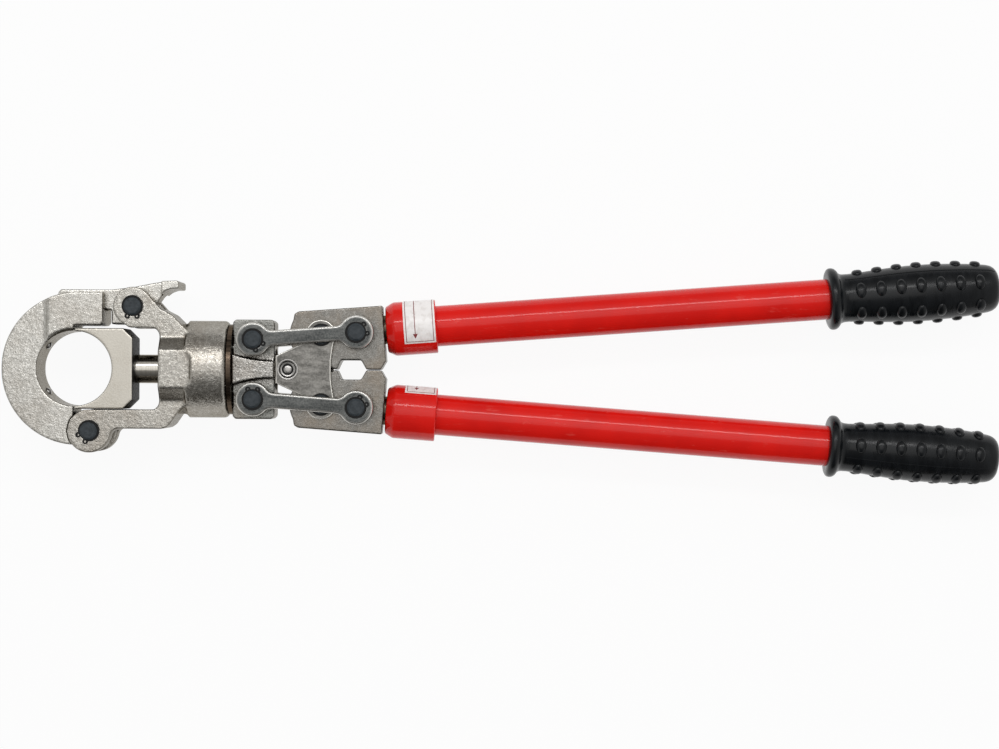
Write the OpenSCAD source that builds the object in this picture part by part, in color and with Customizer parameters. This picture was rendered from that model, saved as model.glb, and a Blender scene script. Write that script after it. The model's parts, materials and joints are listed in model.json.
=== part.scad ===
// Crimping tool with a hinged jaw, a swivelling head and two long toggle handles.
// The origin is the centre of the die seat.
// X runs to the grips, Y to the latch side and Z out of the flat face.

/* [Die seat] */
// Diameter of the split seat that takes the dies
seat_d = 52; // [50:0.5:53]
// Width of the seat across the jaw and the ram head
seat_w = 36; // [33:0.5:37]
// Chamfer on both rims of the seat
seat_chamfer = 2; // [1:0.25:2.5]
// Gap between the two halves of the closed seat
parting_gap = 0.8; // [0.6:0.1:1.2]

/* [Hinged jaw] */
// Wall of the jaw from the seat to the outer arc
jaw_wall = 27; // [26:0.2:29]
// How far the outer arc's centre lies toward the handles
jaw_arc_shift = 2.9; // [2.1:0.2:3.5]
// Width of the jaw's thicker latch end
jaw_end_w = 40; // [38.5:0.5:42]
// Reach of the latch end past the seat centre
jaw_end_reach = 20; // [18:0.5:21]
// Corner radius of the latch end
jaw_end_corner = 3; // [1:0.5:4]
// Gap between the latch end and the ram head
jaw_end_gap = 2; // [1:0.25:2.5]
// Where the thicker end begins, before the seat centre
jaw_step = 20; // [19:0.5:23]
// Length of the slope that leads up to the thicker end
jaw_step_slope = 2.5; // [2:0.5:5]
// Diameter of the jaw pin
jaw_pin_d = 12; // [11:0.5:13]
// Jaw pin's place past the seat centre
jaw_pin_x = 11.2; // [10.6:0.2:12]
// Radius of the fork's lobes around the jaw pin
jaw_lobe_r = 15; // [14.6:0.2:15.6]
// Radius of the jaw's tongue around its pin
jaw_tongue_r = 12.8; // [11.8:0.2:13.2]

/* [Latch] */
// Diameter of the latch pin
latch_pin_d = 12; // [10:0.5:12.5]
// Latch pin's place past the seat centre
latch_pin_x = 40.9; // [40:0.2:42]
// Radius of the fork's lobes around the latch pin
latch_lobe_r = 13.5; // [13:0.2:14]
// Width of the latch inside the fork and the jaw
latch_w = 19.4; // [18.6:0.1:19.4]
// Reach of the latch arm before the seat centre
latch_reach = 12.6; // [10:0.2:13]
// Height of the latch arm above the jaw's top
latch_rise = 2; // [1:0.25:3]
// Depth of the slot in the jaw under the latch's top
latch_depth = 14; // [12:0.5:15]
// Width of the latch's thumb tab
tab_w = 42; // [36:1:45]
// Thickness of the thumb tab
tab_t = 5.6; // [5:0.2:6.5]

/* [Head body] */
// Width of the fork over both plates
fork_w = 45; // [44:0.5:46]
// Gap between the two fork plates
fork_gap = 20; // [20:0.1:20.6]
// Height of the lower fork arm
fork_arm_h = 13; // [11:0.5:14]
// Diameter of the round body behind the fork
body_d = 67.6; // [67:0.2:69]
// Front face of the body past the seat centre
body_front = 59.5; // [58:0.5:60]
// Length of the eight-sided front of the body
octagon_len = 18.5; // [16:0.5:20]
// Length of the body over all
body_len = 46.5; // [46:0.25:48]
// Distance over the body's two flat pads
pad_span = 62.4; // [61:0.2:63]
// Rounding of the body's rear edge
body_round = 3; // [2:0.5:4]

/* [Ram] */
// Wall of the ram head beside the seat
ram_wall = 2; // [1.6:0.1:2.4]
// Back face of the ram head past the seat centre
ram_back = 40.4; // [39:0.2:41]
// Chamfer on the back corners of the ram head
ram_chamfer = 6.6; // [4:0.2:8]
// Running gap between the ram head and the fork
ram_gap = 0.5; // [0.4:0.1:0.8]
// Diameter of the ram rod
ram_rod_d = 20; // [19:0.2:20.4]
// Wall of the bush that guides the ram rod
bush_wall = 3; // [2:0.2:4]
// Angle of the die detents from the ram's axis
detent_angle = 38; // [36:1:42]
// Diameter of a die detent
detent_d = 6; // [5:0.2:6.4]
// How far a die detent stands into the seat
detent_out = 2; // [1.6:0.1:2.4]

/* [Toggle] */
// Front face of the block behind the body
block_gap = 3.5; // [3.4:0.1:4]
// Length of the block as a share of a link
block_share = 0.4067; // [0.402:0.0005:0.4085]
// Height of the block over both lugs
block_h = 69; // [67:0.5:71]
// Thickness of the block's lugs and of the arms
lug_t = 31; // [30:0.25:31.2]
// Height of the raised band across the block
band_h = 48; // [46:0.5:50]
// Diameter of the swivel spigot
spigot_d = 44; // [43:0.2:44.6]
// Length of the swivel spigot
spigot_len = 28; // [27:0.25:28.5]
// Diameter of the coupling barrel in the block
barrel_d = 28; // [27.6:0.1:28.4]
// Diameter of the link pins
link_pin_d = 12; // [11:0.2:12.4]
// Diameter of the pivot pins in the push plates
pivot_pin_d = 13; // [12:0.2:13.4]
// Diameter of the push pin
push_pin_d = 12; // [10.6:0.2:12.4]
// Anchor pin's place along the block as a share of its length
anchor_share = 0.5172; // [0.504:0.002:0.53]
// Anchor pin's distance from the axis
anchor_y = 20.6; // [20.4:0.1:21]
// Length of a link between its pins
link_len = 71.3; // [71:0.1:71.8]
// Slope of the closed links and handles against the axis
link_slope = 4.263; // [4.1:0.05:4.4]
// Distance from the pivot to the link pin as a share of a link
crank_share = 0.3492; // [0.348:0.0002:0.353]
// Radius of a link's eyes
eye_r = 11.8; // [11.2:0.1:12]
// Width of a link's shank
shank_w = 10.6; // [9.6:0.2:11.4]
// Thickness of a push plate
plate_t = 5; // [4.6:0.1:5.2]
// Thickness of a link's shank
shank_t = 6.4; // [5.8:0.1:6.6]
// Radius of a push plate's lobes
plate_lobe_r = 10.4; // [10:0.1:10.8]
// Push pin's place ahead of the pivots as a share of a link
push_share = 0.3194; // [0.314:0.0005:0.322]

/* [Handles] */
// Height of an arm above the handle's axis
arm_top = 17.5; // [17:0.25:18.5]
// End face of an arm past its pivot
arm_end = 43.5; // [43:0.25:43.75]
// Gap between the two arms of the closed tool
arm_gap = 0.4; // [0.3:0.1:0.8]
// Diameter of the outer tube
tube_d = 28.5; // [28:0.1:28.8]
// Wall of the outer tube
tube_wall = 2; // [1.6:0.1:2.2]
// Length of the outer tube
tube_len = 406; // [390:1:407]
// Diameter of the guide tube
guide_d = 20; // [19.4:0.1:20.6]
// Wall of the guide tube
guide_wall = 2; // [1.6:0.1:2.4]
// Length of the guide tube
guide_len = 250; // [240:1:260]
// Diameter of the clamping collar
collar_d = 37.6; // [37:0.2:38.4]
// Length of the clamping collar
collar_len = 35; // [34:0.25:36]
// Length of the cone at the collar's front
collar_cone = 5.6; // [4:0.2:6.4]
// Length of a grip
grip_len = 120; // [118:0.5:122]
// Diameter of a grip's belly
grip_d = 39.8; // [38.5:0.1:40.5]
// Diameter of a grip's flange
grip_flange_d = 43.4; // [42:0.2:44.4]
// Height of the studs on a grip
stud_h = 2.2; // [1.6:0.1:2.4]
// Half length of a stud along the grip
stud_r = 3.7; // [3.4:0.1:4]

/* [Fits] */
// Clearance of a running fit around a pin or rod
run_fit = 0.05; // [0.03:0.01:0.08]
// Clearance of a part held still in its seat
hold_fit = 0.02; // [0.02:0.01:0.04]
// Gap between parts that pass each other
side_gap = 0.3; // [0.3:0.05:0.35]
// Radial play of the link pin in the arm's bore
link_play = 2.1; // [2.1:0.05:2.3]

/* [Circlips] */
// Thickness of a circlip
clip_t = 1; // [0.8:0.05:1]
// Radial width of a circlip
clip_w = 1.7; // [1.5:0.1:2]
// Depth of a circlip's groove
clip_groove = 0.4; // [0.3:0.05:0.5]

/* [Hidden] */
$fn = 96;
over = 2;
far = 200;
blend_over = 0.06;

seat_r = seat_d / 2;
ram_half = seat_r + ram_wall;
window_half = ram_half + ram_gap;
jaw_outer_r = seat_r + jaw_wall;
jaw_end_y = ram_half + jaw_end_gap;
jaw_pin_r = jaw_pin_d / 2;
pin_set_in = 0.4;
jaw_pin_y = -(window_half + jaw_lobe_r - pin_set_in);
jaw_pin_at = [jaw_pin_x, jaw_pin_y];
jaw_lobe_clear = jaw_lobe_r + 2 * side_gap;
tongue_w = latch_w;
tongue_slot_r = jaw_lobe_r + 4 * side_gap;

latch_pin_r = latch_pin_d / 2;
latch_drop = 14.6;
latch_pin_y = window_half + latch_drop;
latch_pin_at = [latch_pin_x, latch_pin_y];
latch_slot_r = 19;
latch_hub_r = 11.6;
latch_top = jaw_outer_r + latch_rise;
slot_floor_r = norm([jaw_end_reach - jaw_pin_x, latch_top - latch_depth - jaw_pin_y]);
arm_floor_r = slot_floor_r + side_gap + run_fit;
slot_end_gap = 1.8;
spring_bed_r = 9.3;
spring_bed_z = 4;

fork_half = fork_w / 2;
gap_half = fork_gap / 2;
arm_low_y = -(window_half + fork_arm_h);
body_r = body_d / 2;
body_rear = body_front + body_len;
octagon_end = body_front + octagon_len;
bush_r = ram_rod_d / 2 + bush_wall;
spigot_r = spigot_d / 2;
block_front = body_rear + block_gap;
block_len = block_share * link_len;
block_rear = block_front + block_len;
spigot_front = block_front - spigot_len;
spigot_end_gap = 1.5;
bore_step = spigot_front - spigot_end_gap;
lug_half = lug_t / 2;
band_half = band_h / 2;
barrel_r = barrel_d / 2;

anchor_x = block_front + anchor_share * block_len;
crank_len = crank_share * link_len;
upper_pivot = [anchor_x + (link_len - crank_len) * cos(link_slope),
    anchor_y + (link_len - crank_len) * sin(link_slope)];
push_x = upper_pivot[0] - push_share * link_len;
plate_low = lug_half + side_gap;
plate_top = plate_low + plate_t;
groove_play = 0.1;
groove_w = clip_t + groove_play;
pivot_clip_z = plate_top + hold_fit;
pivot_pin_half = pivot_clip_z + groove_w + side_gap;
shank_low = pivot_pin_half + side_gap;
link_top = shank_low + shank_t;
link_clip_z = link_top + side_gap;
pin_stub = 1.2;
link_pin_half = link_clip_z + groove_w + pin_stub;
fork_clip_z = fork_half + side_gap;
fork_pin_half = fork_clip_z + groove_w + pin_stub;
pin_chamfer = 0.4;
clip_lug_share = 1.1;
clip_lug_r_share = 1.12;
clip_hole_share = 0.42;
clip_thick_share = 0.2;

collar_gap = 1.6;
collar_front = arm_end + collar_gap;
tube_r = tube_d / 2;
tube_in_r = tube_r - tube_wall;
guide_r = guide_d / 2;
guide_in_r = guide_r - guide_wall;
collar_r = collar_d / 2;
collar_face_step = 3;
collar_face_r = collar_r - collar_face_step;
collar_rear = collar_front + collar_len;
tube_inset = 19;
tube_front = collar_front + tube_inset;
tube_rear = tube_front + tube_len;
grip_set = 4.6;
grip_rear = tube_rear + grip_set;
grip_front = grip_rear - grip_len;

function unit(a) = [cos(a), sin(a)];
function arc_points(c, r, a0, a1, n) = [for (i = [0 : n]) c + r * unit(a0 + (a1 - a0) * i / n)];
function lean(v) = atan2(v[1], v[0]);
function tangent_at(c, r, q, side) = c + r * unit(lean(q - c) + side * acos(r / norm(q - c)));
function flip(p) = [p[0], -p[1]];
function flipped(list) = [for (i = [len(list) - 1 : -1 : 0]) flip(list[i])];

// A turned shape around the X axis from points of radius and place along it
module turned(points) {
    rotate([0, 90, 0])
        rotate_extrude()
            polygon(points);
}

// A plain ring around the X axis between two places
module ring(inner, outer, from, to) {
    turned([[inner, from], [outer, from], [outer, to], [inner, to]]);
}

// A plate from its outline, between two heights
module plate(z0, z1) {
    translate([0, 0, z0])
        linear_extrude(height = z1 - z0)
            children();
}

// A plate from its outline, centred on the middle plane
module middle_plate(width) {
    translate([0, 0, -width / 2])
        linear_extrude(height = width)
            children();
}

// A round bore or rod across the tool
module cross_rod(at, r, half) {
    translate([at[0], at[1], -half])
        cylinder(r = r, h = 2 * half);
}

// A turned cross pin with a circlip groove near each end
module grooved_pin(at, r, half, clip_z) {
    low = r - clip_groove;
    side = [[r, -clip_z], [low, -clip_z], [low, -clip_z - groove_w], [r, -clip_z - groove_w],
        [r, -half + pin_chamfer], [r - pin_chamfer, -half], [0, -half]];
    translate([at[0], at[1], 0])
        rotate_extrude()
            polygon(concat([[0, half], [r - pin_chamfer, half], [r, half - pin_chamfer],
                [r, clip_z + groove_w], [low, clip_z + groove_w], [low, clip_z], [r, clip_z]], side));
}

// One open circlip with two lugs, its gap turned to an angle
module circlip(at, r, clip_z, angle) {
    inner = r - clip_groove + hold_fit;
    lug_r = clip_w * clip_lug_r_share;
    lug_at = inner + clip_w * clip_lug_share;
    lug_turn = 26;
    hole_r = clip_w * clip_hole_share;
    play = (groove_w - clip_t) / 2;
    translate([at[0], at[1], clip_z + play])
        rotate(angle)
            linear_extrude(height = clip_t)
                difference() {
                    union() {
                        translate([-clip_w * clip_thick_share, 0])
                            circle(r = inner + clip_w);
                        for (s = [-1, 1])
                            translate(lug_at * unit(s * lug_turn))
                                circle(r = lug_r);
                    }
                    circle(r = inner);
                    polygon([[0, 0], far * unit(-lug_turn / 2), far * unit(lug_turn / 2)]);
                    for (s = [-1, 1])
                        translate(lug_at * unit(s * lug_turn))
                            circle(r = hole_r);
                }
}

// A circlip on each end of a pin
module circlip_pair(at, r, clip_z, angle) {
    circlip(at, r, clip_z, angle);
    mirror([0, 0, 1])
        circlip(at, r, clip_z, angle);
}

// The web that rounds the corner between a round eye and a straight edge
module eye_fillet(eye, edge, fillet) {
    reach = sqrt(pow(eye + fillet, 2) - pow(edge + fillet, 2));
    share = eye / (eye + fillet);
    difference() {
        polygon([[0, edge - fillet], [reach, edge - fillet], [reach, edge + fillet],
            [reach * share, (edge + fillet) * share], [0, 0]]);
        translate([reach, edge + fillet])
            circle(r = fillet + blend_over);
    }
}

// A wound wire from turning angles and heights on a cylinder
module wound_wire(coil_r, wire_r, path) {
    sides = 8;
    n = len(path);
    dirs = [for (i = [0 : n - 1])
        let (a = path[max(i - 1, 0)], b = path[min(i + 1, n - 1)],
            d = [(b[0] - a[0]) * PI / 180 * coil_r, b[1] - a[1]]) d / norm(d)];
    points = [for (i = [0 : n - 1]) for (k = [0 : sides - 1])
        let (q = path[i][0], w = 360 * k / sides, out = [cos(q), sin(q), 0], round = [-sin(q), cos(q), 0],
            up = dirs[i][0] * [0, 0, 1] - dirs[i][1] * round)
        coil_r * out + [0, 0, path[i][1]] + wire_r * (cos(w) * out + sin(w) * up)];
    walls = [for (i = [0 : n - 2]) for (k = [0 : sides - 1])
        let (a = i * sides + k, b = i * sides + (k + 1) % sides)
        each [[a, b, a + sides], [b, b + sides, a + sides]]];
    front = [for (k = [1 : sides - 2]) [0, k + 1, k]];
    base = (n - 1) * sides;
    back = [for (k = [1 : sides - 2]) [base, base + k, base + k + 1]];
    polyhedron(points = points, faces = concat(walls, front, back));
}

// Head body

fork_upper_edge = [[1, 12.9], [7.9, 9.4], [13.4, 3.9], [22.5, -4.5]];
fork_lower_edge = [[22.5, 4.5], [14.8, 0.9], [11.4, -4], [7.2, -10.2], [4.2, -12.4], [1.6, -13]];
fork_low_drawn = 13;
fork_low_share = fork_arm_h / fork_low_drawn;
latch_neck_x = 38.4;
lobe_fillet = 6;
window_corner = 6;
round_steps = 6;
inside_share = 0.995;
pad_run = 4;
octagon_sides = 8;
octagon_turn = 180 / octagon_sides;
octagon_r = pad_span / 2 / cos(octagon_turn);
pad_half = pad_span / 2 * tan(octagon_turn);
pad_end_half = pad_half - pad_run;
ring_x = spigot_front + 8;
ring_w = 4;
ring_play = 0.2;
ring_deep = 3.4;
tang_r = 0.6;
tang_play = 0.3;
tang_turn_low = 250;
coil_r = 7.9;
wire_r = 0.6;
coil_low = 8.9;
coil_rise = 1.7;
coil_turns = 2.25;
tang_turn_high = tang_turn_low + 360 * coil_turns;
tang_len = 2.2;
bend_r = 0.9;
bend_turn = bend_r / coil_r * 180 / PI;

module window_outline() {
    at = [body_front - window_corner, window_half - window_corner];
    low = arc_points(flip(at), window_corner, -90, 0, round_steps);
    high = arc_points(at, window_corner, 0, 90, round_steps);
    polygon(concat([[-far, -window_half]], low, high, [[-far, window_half]]));
}

module fork_outline() {
    edge = [for (p = fork_upper_edge) [body_front, window_half] + p];
    low = [for (p = fork_lower_edge) [body_front + p[0], -window_half + p[1] * fork_low_share]];
    neck = [latch_neck_x, window_half];
    end_x = body_front + fork_upper_edge[3][0];
    difference() {
        union() {
            translate(latch_pin_at)
                circle(r = latch_lobe_r);
            polygon(concat([tangent_at(latch_pin_at, latch_lobe_r * inside_share, edge[0], 1)], edge,
                [[end_x, 0], [latch_neck_x, 0], neck,
                tangent_at(latch_pin_at, latch_lobe_r * inside_share, neck, -1)]));
            translate(jaw_pin_at)
                circle(r = jaw_lobe_r);
            polygon(concat([[jaw_pin_x, 0], [end_x, 0]], low, [[jaw_pin_x, arm_low_y]]));
            translate(jaw_pin_at)
                mirror([0, 1])
                    eye_fillet(jaw_lobe_r, jaw_pin_y - arm_low_y, lobe_fillet);
        }
        window_outline();
    }
}

module head_body() {
    rear_round = arc_points([body_r - body_round, body_rear - body_round], body_round, 0, 90, round_steps);
    bush_seat = bush_r + hold_fit;
    swivel_r = spigot_r + run_fit;
    color("Silver")
    difference() {
        union() {
            middle_plate(fork_w)
                fork_outline();
            translate([body_front, 0, 0])
                rotate([0, 90, 0])
                    rotate(octagon_turn)
                        cylinder(r = octagon_r, h = octagon_len + over, $fn = octagon_sides);
            turned(concat([[0, octagon_end], [body_r, octagon_end]], rear_round, [[0, body_rear]]));
        }
        for (s = [0, 1])
            mirror([0, 0, s])
                plate(pad_span / 2, far)
                    polygon([[octagon_end - over, -pad_half], [octagon_end, -pad_half],
                        [octagon_end + pad_run, -pad_end_half], [octagon_end + pad_run, pad_end_half],
                        [octagon_end, pad_half], [octagon_end - over, pad_half]]);
        cross_rod(jaw_pin_at, tongue_slot_r, gap_half);
        cross_rod(latch_pin_at, latch_slot_r, gap_half);
        cross_rod(jaw_pin_at, jaw_pin_r + hold_fit, far);
        cross_rod(latch_pin_at, latch_pin_r + hold_fit, far);
        turned([[0, body_front - over], [bush_seat, body_front - over], [bush_seat, bore_step],
            [swivel_r, bore_step], [swivel_r, ring_x], [spigot_r + ring_deep, ring_x],
            [spigot_r + ring_deep, ring_x + ring_w], [swivel_r, ring_x + ring_w],
            [swivel_r, body_rear + over], [0, body_rear + over]]);
        translate([latch_pin_x, latch_pin_y, -gap_half - tang_len - tang_play])
            translate(coil_r * concat(unit(tang_turn_low), 0))
                cylinder(r = tang_r + tang_play, h = tang_len + tang_play + over);
    }
}

module ram_bush() {
    inner = ram_rod_d / 2 + run_fit;
    set_in = 0.6;
    color("DarkGoldenrod")
    ring(inner, bush_r, body_front + set_in, bore_step);
}

// Hinged jaw

latch_slot_w = fork_gap;
jaw_tongue_toe = 2;
jaw_tongue_root = 8;
jaw_tongue_skin = 1.2;
button_len = 8.4;
detent_spring_len = 6.4;
detent_r = detent_d / 2;
button_tip = seat_r - detent_out;
button_back = button_tip + button_len;
detent_floor = button_back + detent_spring_len;

module seat_cut() {
    wide = seat_r + seat_chamfer;
    cross_rod([0, 0], seat_r, far);
    for (s = [0, 1])
        mirror([0, 0, s])
            translate([0, 0, seat_w / 2 - seat_chamfer])
                cylinder(r1 = seat_r - over, r2 = wide + over, h = 2 * over + seat_chamfer);
}

module detent_hole(angle) {
    rotate(angle)
        translate([seat_r - over, 0, 0])
            rotate([0, 90, 0])
                cylinder(r = detent_r + run_fit, h = detent_floor - seat_r + over);
}

module jaw_outline() {
    corner_at = [jaw_end_reach - jaw_end_corner, jaw_end_y + jaw_end_corner];
    difference() {
        union() {
            intersection() {
                translate([jaw_arc_shift, 0])
                    circle(r = jaw_outer_r);
                union() {
                    translate([-far, -far])
                        square([far - parting_gap / 2, 2 * far]);
                    translate([-far, jaw_end_y])
                        square([far + jaw_arc_shift, far]);
                }
            }
            polygon(concat([[-parting_gap, jaw_end_y]],
                arc_points(corner_at, jaw_end_corner, -90, 0, round_steps),
                [[jaw_end_reach, jaw_outer_r], [jaw_arc_shift, jaw_outer_r],
                [-parting_gap, jaw_outer_r - over]]));
        }
        translate(jaw_pin_at)
            circle(r = jaw_lobe_clear);
    }
}

module hinge_jaw() {
    high = jaw_end_w / 2;
    low = seat_w / 2;
    tongue_low = -sqrt(pow(jaw_outer_r, 2) - pow(jaw_tongue_toe + jaw_arc_shift, 2)) + jaw_tongue_skin;
    tongue_top = jaw_pin_y + jaw_tongue_r;
    color("Silver")
    difference() {
        union() {
            middle_plate(jaw_end_w)
                jaw_outline();
            middle_plate(tongue_w)
                union() {
                    translate(jaw_pin_at)
                        circle(r = jaw_tongue_r);
                    polygon([[-jaw_tongue_root, tongue_top - jaw_tongue_skin], [jaw_pin_x, tongue_top],
                        [jaw_pin_x, jaw_pin_y - jaw_tongue_r], [-jaw_tongue_toe, tongue_low]]);
                }
        }
        for (s = [0, 1])
            mirror([0, 0, s]) {
                rotate([90, 0, 0])
                    translate([0, 0, -far])
                        linear_extrude(height = far)
                            polygon([[-far, low], [-jaw_step, low], [-jaw_step + jaw_step_slope, high],
                                [-jaw_step + jaw_step_slope, high + over], [-far, high + over]]);
                translate([-far, -far, low])
                    cube([2 * far, far, over + high - low]);
            }
        seat_cut();
        cross_rod(jaw_pin_at, jaw_pin_r + run_fit, far);
        detent_hole(180 - detent_angle);
        detent_hole(180 + detent_angle);
        middle_plate(latch_slot_w)
            difference() {
                translate([-latch_reach - slot_end_gap, 0])
                    square([far, far]);
                translate(jaw_pin_at)
                    circle(r = slot_floor_r);
            }
    }
}

module jaw_pin() {
    color("DimGray")
    grooved_pin(jaw_pin_at, jaw_pin_r, fork_pin_half, fork_clip_z);
}

jaw_clip_turn = 227;
latch_clip_turn = 269;

module jaw_pin_circlips() {
    color("DarkSlateGray")
    circlip_pair(jaw_pin_at, jaw_pin_r, fork_clip_z, jaw_clip_turn);
}

// Latch, around its pin

latch_edge = [[-16.3, 12.1], [-1.1, 13.8], [12.7, 16.6], [19.6, 17.6], [30.4, 18]];
latch_tip = [31.4, 17];
latch_under = [[26.4, 0], [22.2, -1.7], [18.2, -5.2], [15.4, -9.4]];
latch_heel = [[11.2, -2.8], [8, -8.4], [0, -12.2], [-16.3, -12.2]];
latch_nose = 2;
tab_from = 19.4;
tab_root = 8.4;

module latch_outline() {
    low = latch_edge[4][1] - tab_t;
    top = latch_top - latch_pin_y;
    edge = [for (i = [0 : 4]) [latch_edge[i][0], i == 0 ? top : latch_edge[i][1]]];
    under = [for (p = latch_under) [p[0], low + p[1]]];
    union() {
        translate(latch_pin_at) {
            circle(r = latch_hub_r);
            polygon(concat(edge, [latch_tip, [latch_tip[0], low + pin_chamfer], [latch_edge[4][0], low]],
                under, latch_heel));
        }
        difference() {
            polygon([[-latch_reach, 0], [latch_pin_x, 0], [latch_pin_x, latch_top],
                [-latch_reach + latch_nose, latch_top], [-latch_reach, latch_top - latch_nose]]);
            translate(jaw_pin_at)
                circle(r = arm_floor_r);
        }
    }
}

module tab_outline() {
    low = latch_edge[4][1] - tab_t;
    translate(latch_pin_at)
        polygon([[tab_from, tab_root], latch_edge[3], latch_edge[4], latch_tip,
            [latch_tip[0], low + pin_chamfer], [latch_edge[4][0], low], [latch_under[0][0], low],
            [latch_under[1][0], low + latch_under[1][1]]]);
}

module latch() {
    color("Silver")
    difference() {
        union() {
            middle_plate(latch_w)
                latch_outline();
            middle_plate(tab_w)
                tab_outline();
        }
        cross_rod(latch_pin_at, latch_pin_r + run_fit, far);
        translate([latch_pin_x, latch_pin_y, -far])
            cylinder(r = spring_bed_r, h = far - spring_bed_z);
        translate([latch_pin_x, latch_pin_y, -spring_bed_z - over])
            translate(coil_r * concat(unit(tang_turn_high), 0))
                cylinder(r = tang_r + tang_play, h = tang_len + tang_play + over);
    }
}

module latch_pin() {
    color("DimGray")
    grooved_pin(latch_pin_at, latch_pin_r, fork_pin_half, fork_clip_z);
}

module latch_pin_circlips() {
    color("DarkSlateGray")
    circlip_pair(latch_pin_at, latch_pin_r, fork_clip_z, latch_clip_turn);
}

module latch_spring() {
    steps = 40;
    bends = 3;
    climb = coil_rise * coil_turns;
    bend = [for (i = [0 : bends]) 90 * i / bends];
    coil_from = tang_turn_low + bend_turn;
    coil_to = tang_turn_high - bend_turn;
    path = concat([[tang_turn_low, -gap_half - tang_len]],
        [for (a = bend) [coil_from - bend_turn * cos(a), -coil_low - bend_r + bend_r * sin(a)]],
        [for (i = [1 : steps - 1])
            [coil_from + (coil_to - coil_from) * i / steps, -coil_low + climb * i / steps]],
        [for (a = bend) [coil_to + bend_turn * sin(a), -coil_low + climb + bend_r - bend_r * cos(a)]],
        [[tang_turn_high, -spring_bed_z + tang_len]]);
    echo("latch spring's least gap", coil_rise - 2 * wire_r);
    color("Gray")
    translate([latch_pin_x, latch_pin_y, 0])
        wound_wire(coil_r, wire_r, path);
}

// Die detents and their springs

module detent(angle) {
    nose = arc_points([button_tip + detent_r, 0], detent_r, 180, 96, round_steps);
    color("Black")
    rotate(angle)
        turned(concat([for (p = nose) [p[1], p[0]]],
            [[detent_r, button_tip + detent_r], [detent_r, button_back], [0, button_back]]));
}

module detent_spring(angle) {
    turns = 4;
    steps = 48;
    thick = 0.4;
    wound_r = detent_r - 2 * thick;
    from = button_back + thick + run_fit;
    to = detent_floor - thick - run_fit;
    path = [for (i = [0 : steps]) [360 * turns * i / steps, from + (to - from) * i / steps]];
    echo("detent spring's least gap", (to - from) / turns - 2 * thick);
    color("Gray")
    rotate(angle)
        rotate([0, 90, 0])
            wound_wire(wound_r, thick, path);
}

module jaw_upper_detent() detent(180 - detent_angle);
module jaw_lower_detent() detent(180 + detent_angle);
module ram_upper_detent() detent(detent_angle);
module ram_lower_detent() detent(-detent_angle);
module jaw_upper_detent_spring() detent_spring(180 - detent_angle);
module jaw_lower_detent_spring() detent_spring(180 + detent_angle);
module ram_upper_detent_spring() detent_spring(detent_angle);
module ram_lower_detent_spring() detent_spring(-detent_angle);

// Ram and its coupling to the toggle

rod_r = ram_rod_d / 2;
nose_step = 2;
nose_r = rod_r - nose_step;
nose_len = 9;
barrel_out = 11.5;
barrel_front = block_front - barrel_out;
rod_end = barrel_front - side_gap;
neck_step = 4;
neck_r = rod_r - neck_step;
nut_len = 5.6;
nut_wall = 2;
nut_r = barrel_r - nut_wall;
button_x = barrel_front + nut_len + side_gap;
end_button_len = 8;
button_r = rod_r;
socket_end = button_x + end_button_len + side_gap;
barrel_set_in = 7;
barrel_rear = block_rear - barrel_set_in;
tongue_half_w = 9.4;
tongue_half_t = 9.8;
boss_gap = 0.9;
boss_r = push_x - block_rear - boss_gap;
washer_step = 2.3;

module ram_head() {
    color("Tan")
    difference() {
        middle_plate(seat_w)
            polygon([[parting_gap / 2, -ram_half], [ram_back - ram_chamfer, -ram_half],
                [ram_back, -ram_half + ram_chamfer], [ram_back, ram_half - ram_chamfer],
                [ram_back - ram_chamfer, ram_half], [parting_gap / 2, ram_half]]);
        seat_cut();
        detent_hole(detent_angle);
        detent_hole(-detent_angle);
        translate([ram_back - nose_len, 0, 0])
            rotate([0, 90, 0])
                cylinder(r = nose_r + hold_fit, h = nose_len + over);
    }
}

module ram_rod() {
    nose_x = ram_back - nose_len + side_gap;
    neck_end = button_x + end_button_len;
    color("Gainsboro")
    turned([[0, nose_x], [nose_r, nose_x], [nose_r, ram_back + hold_fit], [rod_r, ram_back + hold_fit],
        [rod_r, rod_end], [neck_r, rod_end], [neck_r, neck_end], [0, neck_end]]);
}

module ram_button() {
    inner = neck_r + hold_fit;
    color("DimGray")
    ring(inner, button_r, button_x, button_x + end_button_len - hold_fit);
}

module swivel_nut() {
    inner = neck_r + side_gap;
    color("DarkGoldenrod")
    ring(inner, nut_r, barrel_front, barrel_front + nut_len);
}

module ram_tongue() {
    socket_r = button_r + side_gap;
    nut_seat_r = nut_r + hold_fit;
    nut_seat = barrel_front + nut_len + hold_fit;
    color("Gainsboro")
    difference() {
        union() {
            turned([[nut_seat_r, barrel_front], [barrel_r, barrel_front], [barrel_r, barrel_rear],
                [0, barrel_rear], [0, socket_end], [socket_r, socket_end], [socket_r, nut_seat],
                [nut_seat_r, nut_seat]]);
            translate([barrel_rear - over, -tongue_half_w, -tongue_half_t])
                cube([push_x - barrel_rear + over, 2 * tongue_half_w, 2 * tongue_half_t]);
            cross_rod([push_x, 0], boss_r, lug_half);
        }
        cross_rod([push_x, 0], push_pin_d / 2 + hold_fit, far);
    }
}

module swivel_ring() {
    split_turn = 9;
    inner = spigot_r - ring_deep + ring_play;
    outer = spigot_r + ring_deep - ring_play;
    color("DimGray")
    difference() {
        ring(inner, outer, ring_x + ring_play, ring_x + ring_w - ring_play);
        translate([ring_x - over, 0, 0])
            rotate([90, 0, 90])
                linear_extrude(height = ring_w + 2 * over)
                    polygon([[0, 0], far * unit(-split_turn), far * unit(split_turn)]);
    }
}

module thrust_washer() {
    outer = body_r - washer_step;
    inner = spigot_r + side_gap;
    color("DimGray")
    ring(inner, outer, body_rear + side_gap, block_front - side_gap);
}

// Toggle block

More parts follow.
